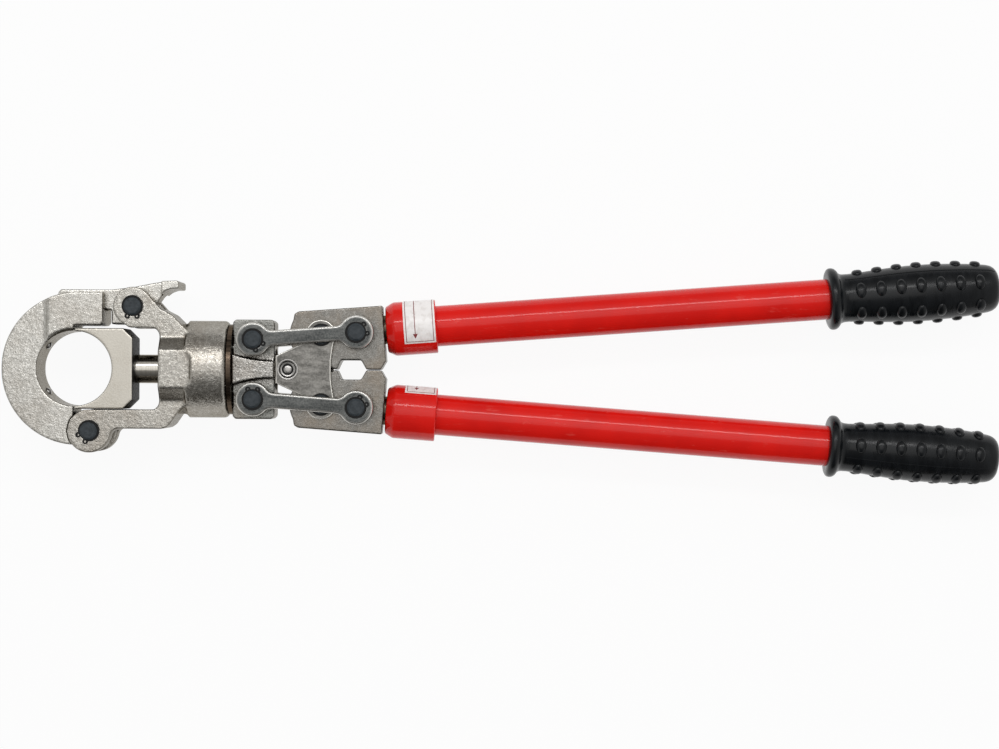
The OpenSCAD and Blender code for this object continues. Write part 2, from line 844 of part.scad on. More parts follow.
band_edge = [[0, 10.4], [0.26, 8.3], [0.52, 6.7], [0.75, 6], [1, 5.6]];
lug_corner = 2;
link_pin_r = link_pin_d / 2;
anchor_upper = [anchor_x, anchor_y];
anchor_lower = [anchor_x, -anchor_y];
joint_upper = anchor_upper + link_len * unit(link_slope);
joint_lower = flip(joint_upper);
lower_pivot = flip(upper_pivot);

module toggle_block() {
    half = block_h / 2;
    edge = [for (p = band_edge) [block_front + p[0] * block_len, p[1]]];
    color("Silver")
    difference() {
        union() {
            middle_plate(lug_t)
                polygon([[block_front, -half + lug_corner], [block_front + lug_corner, -half],
                    [block_rear - lug_corner, -half], [block_rear, -half + lug_corner],
                    [block_rear, half - lug_corner], [block_rear - lug_corner, half],
                    [block_front + lug_corner, half], [block_front, half - lug_corner]]);
            middle_plate(band_h)
                polygon(concat(edge, flipped(edge)));
            turned([[0, spigot_front], [spigot_r, spigot_front], [spigot_r, ring_x],
                [spigot_r - ring_deep, ring_x], [spigot_r - ring_deep, ring_x + ring_w],
                [spigot_r, ring_x + ring_w], [spigot_r, block_front], [0, block_front]]);
        }
        translate([spigot_front - over, 0, 0])
            rotate([0, 90, 0])
                cylinder(r = barrel_r + run_fit, h = block_rear - spigot_front + 2 * over);
        cross_rod(anchor_upper, link_pin_r + hold_fit, far);
        cross_rod(anchor_lower, link_pin_r + hold_fit, far);
    }
}

module anchor_pins() {
    color("DimGray") {
        grooved_pin(anchor_upper, link_pin_r, link_pin_half, link_clip_z);
        grooved_pin(anchor_lower, link_pin_r, link_pin_half, link_clip_z);
    }
}

upper_anchor_turn = 312;
lower_anchor_turn = 88;
upper_joint_turn = 21;
lower_joint_turn = 42;

module anchor_pin_circlips() {
    color("DarkSlateGray") {
        circlip_pair(anchor_upper, link_pin_r, link_clip_z, upper_anchor_turn);
        circlip_pair(anchor_lower, link_pin_r, link_clip_z, lower_anchor_turn);
    }
}

// Push plates and their pins

plate_gap = 1.4;
plate_left = block_rear + plate_gap;
plate_left_half = 9.7;
plate_shoulder_back = [12.3, 5.7];
plate_shoulder = upper_pivot - plate_shoulder_back;
dimple_rim = 2;
plate_neck = 10.3;
plate_waist = 6.9;
plate_waist_r = 86;

module push_plate() {
    half = [[plate_left, plate_left_half], plate_shoulder, upper_pivot - [plate_neck, 0],
        upper_pivot + [plate_neck, 0]];
    waist = upper_pivot[0] + plate_waist;
    color("LightGray")
    difference() {
        union() {
            plate(plate_low, plate_top)
                polygon(concat(half, [for (i = [3 : -1 : 0]) flip(half[i])]));
            for (at = [upper_pivot, lower_pivot])
                translate([at[0], at[1], plate_low])
                    cylinder(r = plate_lobe_r, h = plate_t);
        }
        cross_rod(upper_pivot, pivot_pin_d / 2 + hold_fit, far);
        cross_rod(lower_pivot, pivot_pin_d / 2 + hold_fit, far);
        cross_rod([push_x, 0], push_pin_d / 2 + hold_fit, far);
        cross_rod([waist + plate_waist_r, 0], plate_waist_r, far);
    }
}

module front_push_plate() push_plate();
module rear_push_plate() mirror([0, 0, 1]) push_plate();

module push_pin() {
    r = push_pin_d / 2;
    low = plate_top;
    half = low + pin_chamfer;
    dimple = r - dimple_rim;
    color("DimGray")
    translate([push_x, 0, 0])
        rotate_extrude()
            polygon([[0, -low], [dimple, -low], [dimple, -half], [r - pin_chamfer, -half], [r, -low],
                [r, low], [r - pin_chamfer, half], [dimple, half], [dimple, low], [0, low]]);
}

module pivot_pins() {
    color("DimGray") {
        grooved_pin(upper_pivot, pivot_pin_d / 2, pivot_pin_half, pivot_clip_z);
        grooved_pin(lower_pivot, pivot_pin_d / 2, pivot_pin_half, pivot_clip_z);
    }
}

upper_pivot_turn = 180 + link_slope;
lower_pivot_turn = 180 - link_slope;

module pivot_pin_circlips() {
    color("DarkSlateGray") {
        circlip_pair(upper_pivot, pivot_pin_d / 2, pivot_clip_z, upper_pivot_turn);
        circlip_pair(lower_pivot, pivot_pin_d / 2, pivot_clip_z, lower_pivot_turn);
    }
}

// Links

shank_half = shank_w / 2;
link_fillet = 7;

module link_outline() {
    translate([0, -shank_half])
        square([link_len, shank_w]);
    for (e = [0, 1])
        translate([e * link_len, 0])
            mirror([e, 0]) {
                circle(r = eye_r);
                eye_fillet(eye_r, shank_half, link_fillet);
                mirror([0, 1])
                    eye_fillet(eye_r, shank_half, link_fillet);
            }
}

module link() {
    color("Gray")
    translate([anchor_x, anchor_y, 0])
        rotate(link_slope)
            difference() {
                union() {
                    plate(shank_low, link_top)
                        union()
                            link_outline();
                    for (x = [0, link_len])
                        translate([x, 0, plate_low])
                            cylinder(r = eye_r - blend_over, h = shank_low - plate_low + over);
                }
                cross_rod([0, 0], link_pin_r + run_fit, far);
                cross_rod([link_len, 0], link_pin_r + hold_fit, far);
            }
}

module upper_front_link() link();
module upper_rear_link() mirror([0, 0, 1]) link();
module lower_front_link() mirror([0, 1, 0]) link();
module lower_rear_link() mirror([0, 1, 0]) mirror([0, 0, 1]) link();

module upper_link_pin() {
    color("DimGray")
    grooved_pin(joint_upper, link_pin_r, link_pin_half, link_clip_z);
}

module lower_link_pin() {
    color("DimGray")
    grooved_pin(joint_lower, link_pin_r, link_pin_half, link_clip_z);
}

module upper_link_pin_circlips() {
    color("DarkSlateGray")
    circlip_pair(joint_upper, link_pin_r, link_clip_z, upper_joint_turn);
}

module lower_link_pin_circlips() {
    color("DarkSlateGray")
    circlip_pair(joint_lower, link_pin_r, link_clip_z, lower_joint_turn);
}

// Handles, drawn along X from the pivot

arm_round_share = 0.8835;
arm_round = arm_round_share * crank_len;
handle_lift_share = 0.04;
handle_lift = handle_lift_share * crank_len;
heel_shares = [-0.932, 0.205];
nape_share = -0.8;
nape_drop = 1.5;
crown_share = -0.667;
arm_lip = 2;
arm_toe = 7.5;
arm_corner = [4, 6];
relief = [[10.7, 0], [13.8, 6.7], [27.7, 6.7], [31.5, 0]];
spigot_out = 28;
guide_pin_r = 2.5;
guide_pin_out = 15;
guide_pin_set_in = 0.3;
stop_len = 15;
front_bush_len = 20;
front_bush_in = 2;
collet_in = 5;
collet_front_wall = 2.4;
collet_rear_wall = 4.4;
collet_front_r = guide_r + collet_front_wall;
collet_rear_r = guide_r + collet_rear_wall;
collet_rear = tube_front - 2 * side_gap;
collet_front = collar_front + collet_in;
collet_slit = 1.6;
collet_slit_len = 9;
collar_edge = 0.8;
guide_front = arm_end + hold_fit;
guide_rear = guide_front + guide_len;

function contact(u) = -(upper_pivot[1] - arm_gap / 2 + u * sin(link_slope)) / cos(link_slope);

module on_handle(side) {
    mirror([0, side, 0])
        translate([upper_pivot[0], upper_pivot[1], 0])
            rotate(link_slope)
                children();
}

module on_axis(side) {
    on_handle(side)
        translate([0, handle_lift, 0])
            children();
}

module arm_outline() {
    difference() {
        union() {
            intersection() {
                circle(r = arm_round);
                translate([-far, -far])
                    square([2 * far, far + arm_top]);
            }
            polygon([arm_round * heel_shares, [arm_round * nape_share, arm_top - nape_drop],
                [arm_round * crown_share, arm_top], [arm_end, arm_top],
                [arm_end, contact(arm_end) + arm_corner[1]],
                [arm_end - arm_corner[0], contact(arm_end - arm_corner[0])],
                [arm_toe, contact(arm_toe)], [0, -arm_round + arm_lip]]);
        }
        rotate(-link_slope)
            translate([0, -upper_pivot[1]])
                polygon(concat([[relief[0][0], -over]], relief, [[relief[3][0], -over]]));
    }
}

module arm(side) {
    color("Silver")
    on_handle(side)
        difference() {
            union() {
                middle_plate(lug_t)
                    arm_outline();
                translate([arm_end - over, handle_lift, 0])
                    rotate([0, 90, 0])
                        cylinder(r = guide_in_r - hold_fit, h = spigot_out + over);
            }
            cross_rod([0, 0], pivot_pin_d / 2 + run_fit, far);
            cross_rod([crank_len, 0], link_pin_r + link_play, far);
            cross_rod([arm_end + guide_pin_out, handle_lift], guide_pin_r + hold_fit, far);
        }
}

module guide_tube(side) {
    color("Gainsboro")
    on_axis(side)
        difference() {
            ring(guide_in_r, guide_r, guide_front, guide_rear);
            cross_rod([arm_end + guide_pin_out, 0], guide_pin_r + hold_fit, far);
        }
}

module guide_pin(side) {
    color("DimGray")
    on_axis(side)
        cross_rod([arm_end + guide_pin_out, 0], guide_pin_r, guide_r - guide_pin_set_in);
}

module stop_bush(side) {
    inner = guide_r + hold_fit;
    outer = tube_in_r - 2 * run_fit;
    color("Ivory")
    on_axis(side)
        ring(inner, outer, guide_rear - stop_len, guide_rear);
}

module front_bush(side) {
    inner = guide_r + 2 * run_fit;
    outer = tube_in_r - hold_fit;
    front = tube_front + front_bush_in;
    color("Ivory")
    on_axis(side)
        ring(inner, outer, front, front + front_bush_len);
}

module collet(side) {
    inner = guide_r + 2 * run_fit;
    color("Ivory")
    on_axis(side)
        difference() {
            turned([[inner, collet_front], [collet_front_r, collet_front], [collet_rear_r, collet_rear],
                [inner, collet_rear]]);
            for (a = [0, 90])
                rotate([a, 0, 0])
                    translate([collet_front - over, -collet_slit / 2, -far])
                        cube([collet_slit_len + over, collet_slit, 2 * far]);
        }
}

module collar(side) {
    inner = guide_r + 2 * side_gap;
    cone = side_gap + run_fit;
    bore = tube_r + run_fit;
    color("Red")
    on_axis(side)
        turned([[inner, collar_front], [collar_face_r, collar_front],
            [collar_r, collar_front + collar_cone], [collar_r, collar_rear - collar_edge],
            [collar_r - collar_edge, collar_rear], [bore, collar_rear], [bore, tube_front - side_gap],
            [collet_rear_r + cone, tube_front - side_gap],
            [collet_front_r + cone, collet_front - side_gap], [inner, collet_front - side_gap]]);
}

module tube(side) {
    color("Red")
    on_axis(side)
        ring(tube_in_r, tube_r, tube_front, tube_rear);
}

// Grips: outline as shares of the length and of the belly's radius, with the flange as shares of its own

flange_shares = [[0, 0.86], [0.01, 0.965], [0.027, 1], [0.046, 0.985], [0.062, 0.9]];
belly_shares = [[0.077, 0.885], [0.096, 0.848], [0.123, 0.843], [0.239, 0.895], [0.355, 0.953],
    [0.47, 0.993], [0.586, 0.997], [0.702, 0.973], [0.818, 0.925], [0.934, 0.845], [0.968, 0.78],
    [0.988, 0.68], [1, 0.53]];
stud_turns = [33.5, 90, 146.5, 213.5, 270, 326.5];
studs_in_row = 7;
stud_first_share = 0.181;
stud_pitch_share = 0.1158;
stud_root = 1.6;
stud_top_share = 0.55;
stud_oval = 1.5;
upper_seam_turn = 48.5;
lower_seam_turn = -25;

function belly_r(s) = lookup(s, belly_shares) * grip_d / 2;

module grip(side, turn) {
    flange = [for (p = flange_shares) [p[1] * grip_flange_d / 2, grip_front + p[0] * grip_len]];
    belly = [for (p = belly_shares) [p[1] * grip_d / 2, grip_front + p[0] * grip_len]];
    bore = tube_r + hold_fit;
    color("Black")
    on_axis(side)
        difference() {
            union() {
                rotate([-turn, 0, 0])
                    turned(concat([[0, grip_front]], flange, belly, [[0, grip_rear]]));
                for (row = stud_turns)
                    for (i = [0 : studs_in_row - 1])
                        let (s = stud_first_share + stud_pitch_share * i)
                        rotate([-turn - row, 0, 0])
                            translate([grip_front + s * grip_len, 0, belly_r(s) - stud_root])
                                scale([1, stud_oval, 1])
                                    cylinder(r1 = stud_r, r2 = stud_r * stud_top_share, h = stud_root + stud_h);
            }
            translate([grip_front - over, 0, 0])
                rotate([0, 90, 0])
                    cylinder(r = bore, h = tube_rear + hold_fit - grip_front + over);
        }
}

module upper_arm() arm(0);
module upper_guide_tube() guide_tube(0);
module upper_guide_pin() guide_pin(0);
module upper_stop_bush() stop_bush(0);
module upper_front_bush() front_bush(0);
module upper_collet() collet(0);
module upper_collar() collar(0);
module upper_tube() tube(0);
module upper_grip() grip(0, upper_seam_turn);
module lower_arm() arm(1);
module lower_guide_tube() guide_tube(1);
module lower_guide_pin() guide_pin(1);
module lower_stop_bush() stop_bush(1);
module lower_front_bush() front_bush(1);
module lower_collet() collet(1);
module lower_collar() collar(1);
module lower_tube() tube(1);
module lower_grip() grip(1, lower_seam_turn);

// Every part by name

head_body();
ram_bush();
hinge_jaw();
jaw_pin();
jaw_pin_circlips();
latch();
latch_pin();
latch_pin_circlips();
latch_spring();
jaw_upper_detent();
jaw_lower_detent();
ram_upper_detent();
ram_lower_detent();
jaw_upper_detent_spring();
jaw_lower_detent_spring();
ram_upper_detent_spring();
ram_lower_detent_spring();
ram_head();
ram_rod();
ram_button();
swivel_nut();
ram_tongue();
swivel_ring();
thrust_washer();
toggle_block();
anchor_pins();
anchor_pin_circlips();
front_push_plate();
rear_push_plate();
push_pin();
pivot_pins();
pivot_pin_circlips();
upper_front_link();
upper_rear_link();
lower_front_link();
lower_rear_link();
upper_link_pin();
lower_link_pin();
upper_link_pin_circlips();
lower_link_pin_circlips();
upper_arm();
upper_guide_tube();
upper_guide_pin();
upper_stop_bush();
upper_front_bush();
upper_collet();
upper_collar();
upper_tube();
upper_grip();
lower_arm();
lower_guide_tube();
lower_guide_pin();
lower_stop_bush();
lower_front_bush();
lower_collet();
lower_collar();
lower_tube();
lower_grip();
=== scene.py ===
import json
import math

import bmesh
import bpy
from bpy.props import FloatProperty, FloatVectorProperty, IntProperty, PointerProperty
from bpy.types import Operator, Panel, PropertyGroup
from mathutils import Matrix, Vector


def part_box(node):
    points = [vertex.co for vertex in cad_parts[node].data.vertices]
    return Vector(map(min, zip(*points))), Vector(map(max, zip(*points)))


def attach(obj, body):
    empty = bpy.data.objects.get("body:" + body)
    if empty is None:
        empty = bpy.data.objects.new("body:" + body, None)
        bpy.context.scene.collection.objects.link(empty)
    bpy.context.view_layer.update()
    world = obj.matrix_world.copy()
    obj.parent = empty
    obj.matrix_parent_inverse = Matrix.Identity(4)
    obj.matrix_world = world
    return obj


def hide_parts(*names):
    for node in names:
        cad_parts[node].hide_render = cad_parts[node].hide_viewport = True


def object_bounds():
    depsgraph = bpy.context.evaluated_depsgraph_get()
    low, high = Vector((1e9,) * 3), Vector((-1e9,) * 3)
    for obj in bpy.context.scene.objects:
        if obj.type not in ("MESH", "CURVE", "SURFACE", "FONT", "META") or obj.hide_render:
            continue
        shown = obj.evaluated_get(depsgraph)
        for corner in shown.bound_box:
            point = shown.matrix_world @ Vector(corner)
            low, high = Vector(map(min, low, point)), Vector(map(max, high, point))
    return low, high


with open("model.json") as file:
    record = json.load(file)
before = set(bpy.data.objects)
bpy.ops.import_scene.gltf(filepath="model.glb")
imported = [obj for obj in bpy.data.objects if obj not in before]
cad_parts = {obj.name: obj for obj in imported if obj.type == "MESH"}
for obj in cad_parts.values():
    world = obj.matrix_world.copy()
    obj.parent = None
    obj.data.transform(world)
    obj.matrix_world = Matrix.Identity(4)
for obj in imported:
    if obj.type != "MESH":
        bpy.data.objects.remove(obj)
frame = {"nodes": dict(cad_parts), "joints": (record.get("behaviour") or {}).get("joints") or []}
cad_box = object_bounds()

bl_info = {
    "name": "Toggle crimper",
    "version": (1, 0, 0),
    "blender": (4, 5, 0),
    "location": "View3D > Sidebar > Crimper",
    "description": "Dresses a long-handled crimping tool and sets up its studio",
    "category": "Object",
}

JOINTS = {joint["name"]: joint for joint in frame["joints"]}
SIDES = ("upper", "lower")
# Distance along a handle, from its pivot to the point on its axis that the collar's joint names.
COLLAR_MARK = 0.060
# Keeps the finishes apart from the plain materials that come with the CAD nodes.
PREFIX = "finish_"
# Tint of worn metal seen along its surface.
GRAZED = (0.62, 0.60, 0.56, 1)
# Grain of a forging, in grains per metre, and its relief as shares of the depth given for it.
FINE_GRAIN = 1150
COARSE_GRAIN = 360
STAIN_GRAIN = 40
FINE_DEPTH = 0.7
COARSE_DEPTH = 2.1
# Tone of the coarse hollows, as a share of the dark tone of the grain.
HOLLOW_SHADE = 0.75
# Painted shade on a forging's sides: its colour, as shares of the red, green and blue of its hollows.
SIDE_SHADE_TINT = (1, 0.95, 0.88)
# Tones that clouds, grain, wear, painted edge highlights and painted shade mix into a finish, beside the colour in its
# property.
SECOND = {
    "satin": (0.47, 0.435, 0.375), "satin_grain": (0.61, 0.58, 0.52), "satin_edge": (0.88, 0.85, 0.78),
    "scale": (0.030, 0.027, 0.024), "rod": (0.56, 0.535, 0.485), "browned": (0.125, 0.092, 0.066),
    "link": (0.100, 0.104, 0.102), "link_edge": (0.74, 0.725, 0.69),
    "plate": (0.205, 0.198, 0.185), "plate_edge": (0.80, 0.78, 0.73),
    "pin": (0.034, 0.043, 0.051), "clip": (0.009, 0.009, 0.0095), "wire": (0.52, 0.51, 0.49),
    "bronze": (0.68, 0.48, 0.26), "nylon": (0.66, 0.63, 0.55),
    "red": (0.66, 0.0085, 0.0060), "red_rub": (0.80, 0.09, 0.07), "rubber": (0.0050, 0.0062, 0.0078),
    "label": (0.84, 0.80, 0.78), "ink": (0.30, 0.06, 0.06),
}
# Width of the step from the octagon's facets, which get more painted shade, to the cylinder behind it.
FACET_STEP = 0.001
# Where the grain beside a web ends, as a share of the web's half width.
WEB_FADE = 1.12
# Angles in degrees past which an edge stays sharp.
SHARP = 38
PIN_SHARP = 30
GRIP_SHARP = 44
# Vertices nearer than this are one.
WELD = 1e-6
# Length of a pin's chamfer along the pin, as a share of its width.
CHAMFER_SLOPE = 0.7
# How far each smoothing pass moves a vertex of a forging.
TUMBLE_FACTOR = 0.5
# A forging with fewer faces than this has been lost.
LEAST_FACES = 100
# A face whose normal rises less than this is one of the sides.
STEEP_FACE = 0.5
# Share of an edge that the rounding of one of its corners may take.
EASE_SHARE = 0.45
ROUND_SEGMENTS = 64
TUBE_SEGMENTS = 96
GRIP_SEGMENTS = 112


# Sizes and colours

def colour_property(name, description, default):
    return FloatVectorProperty(name=name, description=description, default=default, subtype="COLOR", min=0, max=1)


def length_property(name, description, default):
    return FloatProperty(name=name, description=description, default=default, unit="LENGTH", precision=5, min=0)


def count_property(name, description, default):
    return IntProperty(name=name, description=description, default=default, min=0)


def point_property(name, description, default):
    return FloatVectorProperty(name=name, description=description, default=default, unit="LENGTH")


class CrimperFinishes(PropertyGroup):
    nickel_light: colour_property("Nickel, worn", "Jaw and latch on their rubbed high spots", (0.79, 0.775, 0.735))
    nickel_dark: colour_property("Nickel, in the grain", "Jaw and latch in their small hollows", (0.52, 0.505, 0.465))
    body_light: colour_property("Body, worn", "Plated body on its rubbed high spots", (0.66, 0.64, 0.595))
    body_dark: colour_property("Body, in the grain", "Plated body in its small hollows", (0.41, 0.39, 0.352))
    block_light: colour_property("Block, worn", "Toggle block on its rubbed high spots", (0.62, 0.605, 0.575))
    block_dark: colour_property("Block, in the grain", "Toggle block in its small hollows", (0.30, 0.29, 0.27))
    cheek: colour_property("Block cheeks", "Toggle block under the links, ground smooth", (0.235, 0.235, 0.22))
    arm_light: colour_property("Arms, worn", "Forged arms on their high spots", (0.30, 0.292, 0.275))
    arm_dark: colour_property("Arms, in the grain", "Forged arms in their hollows", (0.165, 0.158, 0.145))
    stain: colour_property("Nickel, stained", "Brown tarnish left by plating", (0.24, 0.19, 0.14))
    # Painted shade: the near-black colour of the ram head's sides stands in for the shade on them.
    scale: colour_property("Black scale", "Sides of the ram head", (0.011, 0.010, 0.009))
    satin: colour_property("Satin nickel", "Machined and plated ram head", (0.57, 0.54, 0.48))
    rod: colour_property("Polished steel", "Ground rod and machined rings", (0.42, 0.395, 0.35))
    browned: colour_property("Browned steel", "Washer and ring of the swivel", (0.060, 0.045, 0.034))
    link: colour_property("Link steel", "Oxide of the tumbled links", (0.050, 0.054, 0.054))
    plate: colour_property("Plate steel", "Ground push plates", (0.10, 0.097, 0.090))
    pin: colour_property("Blued pins", "Hardened blue-black pin ends", (0.020, 0.027, 0.033))
    clip: colour_property("Phosphated clips", "Black circlips", (0.004, 0.004, 0.0045))
    wire: colour_property("Spring wire", "Springs, detents and push pin", (0.30, 0.29, 0.28))
    bronze: colour_property("Bronze", "Ram bush", (0.55, 0.36, 0.17))
    nylon: colour_property("Nylon", "Sliding bushes in the tubes", (0.74, 0.71, 0.62))
    red: colour_property("Red paint", "Tubes and collars", (0.78, 0.0105, 0.0065))
    rubber: colour_property("Rubber", "Grips", (0.0028, 0.0036, 0.0048))
    label: colour_property("Label", "Vinyl of the collar labels", (0.97, 0.94, 0.93))
    ink: colour_property("Label ink", "Frame and arrow on the labels", (0.20, 0.020, 0.022))


class CrimperForgings(PropertyGroup):
    head_cell: length_property("Head cells", "Cell size that rounds the head's edges", 0.00075)
    jaw_cell: length_property("Jaw cells", "Cell size that rounds the jaw's edges", 0.00062)
    small_cell: length_property("Small cells", "Cell size for latch, block and arms", 0.00055)
    link_cell: length_property("Link cells", "Cell size for links and plates", 0.0004)
    passes: count_property("Tumbling", "Smoothing passes over a forging's edges", 7)
    jaw_passes: count_property("Jaw tumbling", "Smoothing passes over the jaw's edges", 10)
    ram_passes: count_property("Ram easing", "Smoothing passes over the ram head's edges", 3)
    link_passes: count_property("Link tumbling", "Smoothing passes over a link's edges", 60)
    pin_chamfer: length_property("Pin chamfer", "Width of the chamfer round a pin's end", 0.0013)


class CrimperHandles(PropertyGroup):
    tube_radius: length_property("Tube radius", "Outside of the red tube", 0.01425)
    tube_bore: length_property("Tube bore", "Inside of the red tube", 0.01225)
    tube_front: length_property("Tube front", "Where the tube starts, from the pivot", 0.0641)
    tube_rear: length_property("Tube rear", "Where the tube ends, from the pivot", 0.4701)
    collar_radius: length_property("Collar radius", "Outside of the clamping collar", 0.0188)
    collar_front: length_property("Collar front", "Front face of the collar, from the pivot", 0.0451)
    collar_length: length_property("Collar length", "Length of the collar", 0.035)
    grip_front: length_property("Grip front", "Front of the grip's flange, from the pivot", 0.3547)
    grip_length: length_property("Grip length", "Length of the grip", 0.120)
    grip_radius: length_property("Grip radius", "Belly of the grip", 0.0199)
    flange_radius: length_property("Flange radius", "Flange at the front of the grip", 0.0217)
    stud_height: length_property("Stud height", "How far a stud stands off the grip", 0.0022)
    stud_length: length_property("Stud length", "Half length of a stud along the grip", 0.0037)
    stud_width: length_property("Stud width", "Half width of a stud around the grip", 0.0056)
    label_front: length_property("Label front", "Front edge of a label, from the pivot", 0.0573)
    label_rear: length_property("Label rear", "Rear edge of a label, from the pivot", 0.0792)


class CrimperStudio(PropertyGroup):
    eye: point_property("Camera", "Camera position", (0.2740, -0.0083, 1.6))
    target: point_property("Target", "Point looked at", (0.29474, -0.00259, 0))
    lens: FloatProperty(name="Lens", description="Focal length in millimetres", default=82.24, min=10)
    roll: FloatProperty(name="Roll", description="Turn of the picture", default=0.0054, subtype="ANGLE")
    floor: length_property("Floor gap", "Clearance under the lowest piece", 0.0002)
    floor_reach: length_property("Floor reach", "Half width of the floor", 6)
    floor_tone: FloatProperty(name="Floor tone", description="Grey of the floor", default=0.86, min=0, max=1)
    floor_glow: FloatProperty(name="Floor glow", description="Share of white in the floor as it is seen",
                              default=0.93, min=0, max=1)
    strip_power: FloatProperty(name="Strip lamp", description="Power in watts", default=8.2, min=0)
    top_power: FloatProperty(name="Top lamp", description="Power in watts", default=4.1, min=0)


# Node materials

def grow(tree, kind, values=None, **settings):
    """A new node; values that are sockets are linked to its inputs, the others are set there."""
    node = tree.nodes.new(kind)
    for key, value in settings.items():
        setattr(node, key, value)
    for key, value in (values or {}).items():
        if isinstance(value, bpy.types.NodeSocket):
            tree.links.new(value, node.inputs[key])
        else:
            node.inputs[key].default_value = value
    return node


def start_material(name, metallic=0.0, **sockets):
    material = bpy.data.materials.new(PREFIX + name)
    material.use_nodes = True
    tree = material.node_tree
    shader = tree.nodes["Principled BSDF"]
    shader.inputs["Metallic"].default_value = metallic
    for key, value in sockets.items():
        shader.inputs[key.replace("_", " ")].default_value = value
    return material, tree, shader


def noise(tree, scale, detail, rough, stretch=(1, 1, 1)):
    """Noise in the piece's own coordinates; scale is in grains per metre."""
    place = grow(tree, "ShaderNodeTexCoord")
    mapping = grow(tree, "ShaderNodeMapping", {"Vector": place.outputs["Object"], "Scale": stretch})
    texture = grow(tree, "ShaderNodeTexNoise", {
        "Vector": mapping.outputs["Vector"], "Scale": scale, "Detail": detail, "Roughness": rough})
    return texture.outputs["Fac"]


def remap(tree, value, low, high, to_low, to_high):
    node = grow(tree, "ShaderNodeMapRange", {
        "Value": value, "From Min": low, "From Max": high, "To Min": to_low, "To Max": to_high})
    return node.outputs["Result"]


def grain(tree, scale, detail, rough, low, high, top=1, stretch=(1, 1, 1)):
    """Noise spread from 0 where it is low to top where it is high."""
    return remap(tree, noise(tree, scale, detail, rough, stretch), low, high, 0, top)


def blend(tree, factor, first, second):
    node = grow(tree, "ShaderNodeMix", data_type="RGBA")
    for index, value in ((0, factor), (6, first), (7, second)):
        if isinstance(value, bpy.types.NodeSocket):
            tree.links.new(value, node.inputs[index])
        elif index:
            node.inputs[index].default_value = (*value, 1)
        else:
            node.inputs[index].default_value = value
    return node.outputs[2]


def bump(tree, height, depth, strength, below=None):
    values = {"Height": height, "Distance": depth, "Strength": strength}
    if below:
        values["Normal"] = below
    return grow(tree, "ShaderNodeBump", values).outputs["Normal"]


def edges(tree, low, high):
    """From 0 to 1 as the surface goes from low to high pointiness; 0.5 is flat, hollows are below it."""
    shape = grow(tree, "ShaderNodeNewGeometry")
    return remap(tree, shape.outputs["Pointiness"], low, high, 0, 1)


def join(tree, shader, **sockets):
    for key, value in sockets.items():
        tree.links.new(value, shader.inputs[key.replace("_", " ")])


def steep(tree, low, high):
    """1 on the sides of a piece, 0 on its faces, by the piece's own axes."""
    place = grow(tree, "ShaderNodeTexCoord")
    parts = grow(tree, "ShaderNodeSeparateXYZ", {0: place.outputs["Normal"]})
    rise = grow(tree, "ShaderNodeMath", {0: parts.outputs["Z"]}, operation="ABSOLUTE")
    return remap(tree, rise.outputs[0], low, high, 1, 0)


def forged(name, light, dark, look, depth, stained, side_shade_level, ahead=None, web=None):
    """Plated forging: hammered grain of a given depth, brown clouds, and sides darkened with painted shade.

    Behind the x given as ahead, the sides get less painted shade. Where a web's half width is given, the grain stays
    on the web and the cheeks beside it are smooth.
    """
    material, tree, shader = start_material(name, metallic=1.0, Specular_Tint=GRAZED)
    fine = grain(tree, FINE_GRAIN, 3.0, 0.65, 0.40, 0.60)
    coarse = grain(tree, COARSE_GRAIN, 3.0, 0.6, 0.38, 0.62)
    cloud = grain(tree, STAIN_GRAIN, 4.0, 0.6, 0.44, 0.64, stained)
    place = grow(tree, "ShaderNodeTexCoord")
    parts = grow(tree, "ShaderNodeSeparateXYZ", {0: place.outputs["Object"]})
    plated = blend(tree, fine, dark, light)
    plated = blend(tree, remap(tree, coarse, 0, 1, 0.6, 0), plated, [tone * HOLLOW_SHADE for tone in dark])
    deep = 0.8
    if web:
        offset = grow(tree, "ShaderNodeMath", {0: parts.outputs["Y"]}, operation="ABSOLUTE").outputs[0]
        plated = blend(tree, remap(tree, offset, web, web * WEB_FADE, 0, 1), plated, look.cheek)
        deep = remap(tree, offset, web, web * WEB_FADE, 0.9, 0.25)
    tarnished = blend(tree, cloud, plated, look.stain)
    hollow = blend(tree, edges(tree, 0.485, 0.44), tarnished, look.stain)
    # Painted shade: the steep sides are darkened towards a share of the dark grain tone.
    sides = remap(tree, steep(tree, 0.55, 0.93), 0, 1, 0, 0.88)
    # On the body, the octagon's facets ahead of x get more of this painted shade than the cylinder behind.
    if ahead:
        flank = remap(tree, parts.outputs["X"], ahead, ahead + FACET_STEP, 0.85, 0.28)
        sides = grow(tree, "ShaderNodeMath", {0: steep(tree, 0.66, 0.91), 1: flank}, operation="MULTIPLY").outputs[0]
    painted_side_shade = [tone * side_shade_level * tint for tone, tint in zip(dark, SIDE_SHADE_TINT)]
    retoned = blend(tree, sides, hollow, painted_side_shade)
    normal = bump(tree, coarse, depth * COARSE_DEPTH, 0.6)
    normal = bump(tree, fine, depth * FINE_DEPTH, deep, normal)
    join(tree, shader, Base_Color=retoned, Roughness=remap(tree, coarse, 0, 1, 0.18, 0.28), Normal=normal)
    return material


def forged_nickel(look):
    return forged("forged_nickel", look.nickel_light, look.nickel_dark, look,
                  depth=0.00006, stained=0.22, side_shade_level=0.42)


def body_nickel(look):
    return forged("body_nickel", look.body_light, look.body_dark, look,
                  depth=0.00007, stained=0.30, side_shade_level=0.40, ahead=0.078)


def block_nickel(look):
    return forged("block_nickel", look.block_light, look.block_dark, look,
                  depth=0.00009, stained=0.35, side_shade_level=0.50, web=0.0100)


def arm_nickel(look):
    return forged("arm_nickel", look.arm_light, look.arm_dark, look,
                  depth=0.00003, stained=0.40, side_shade_level=0.62)


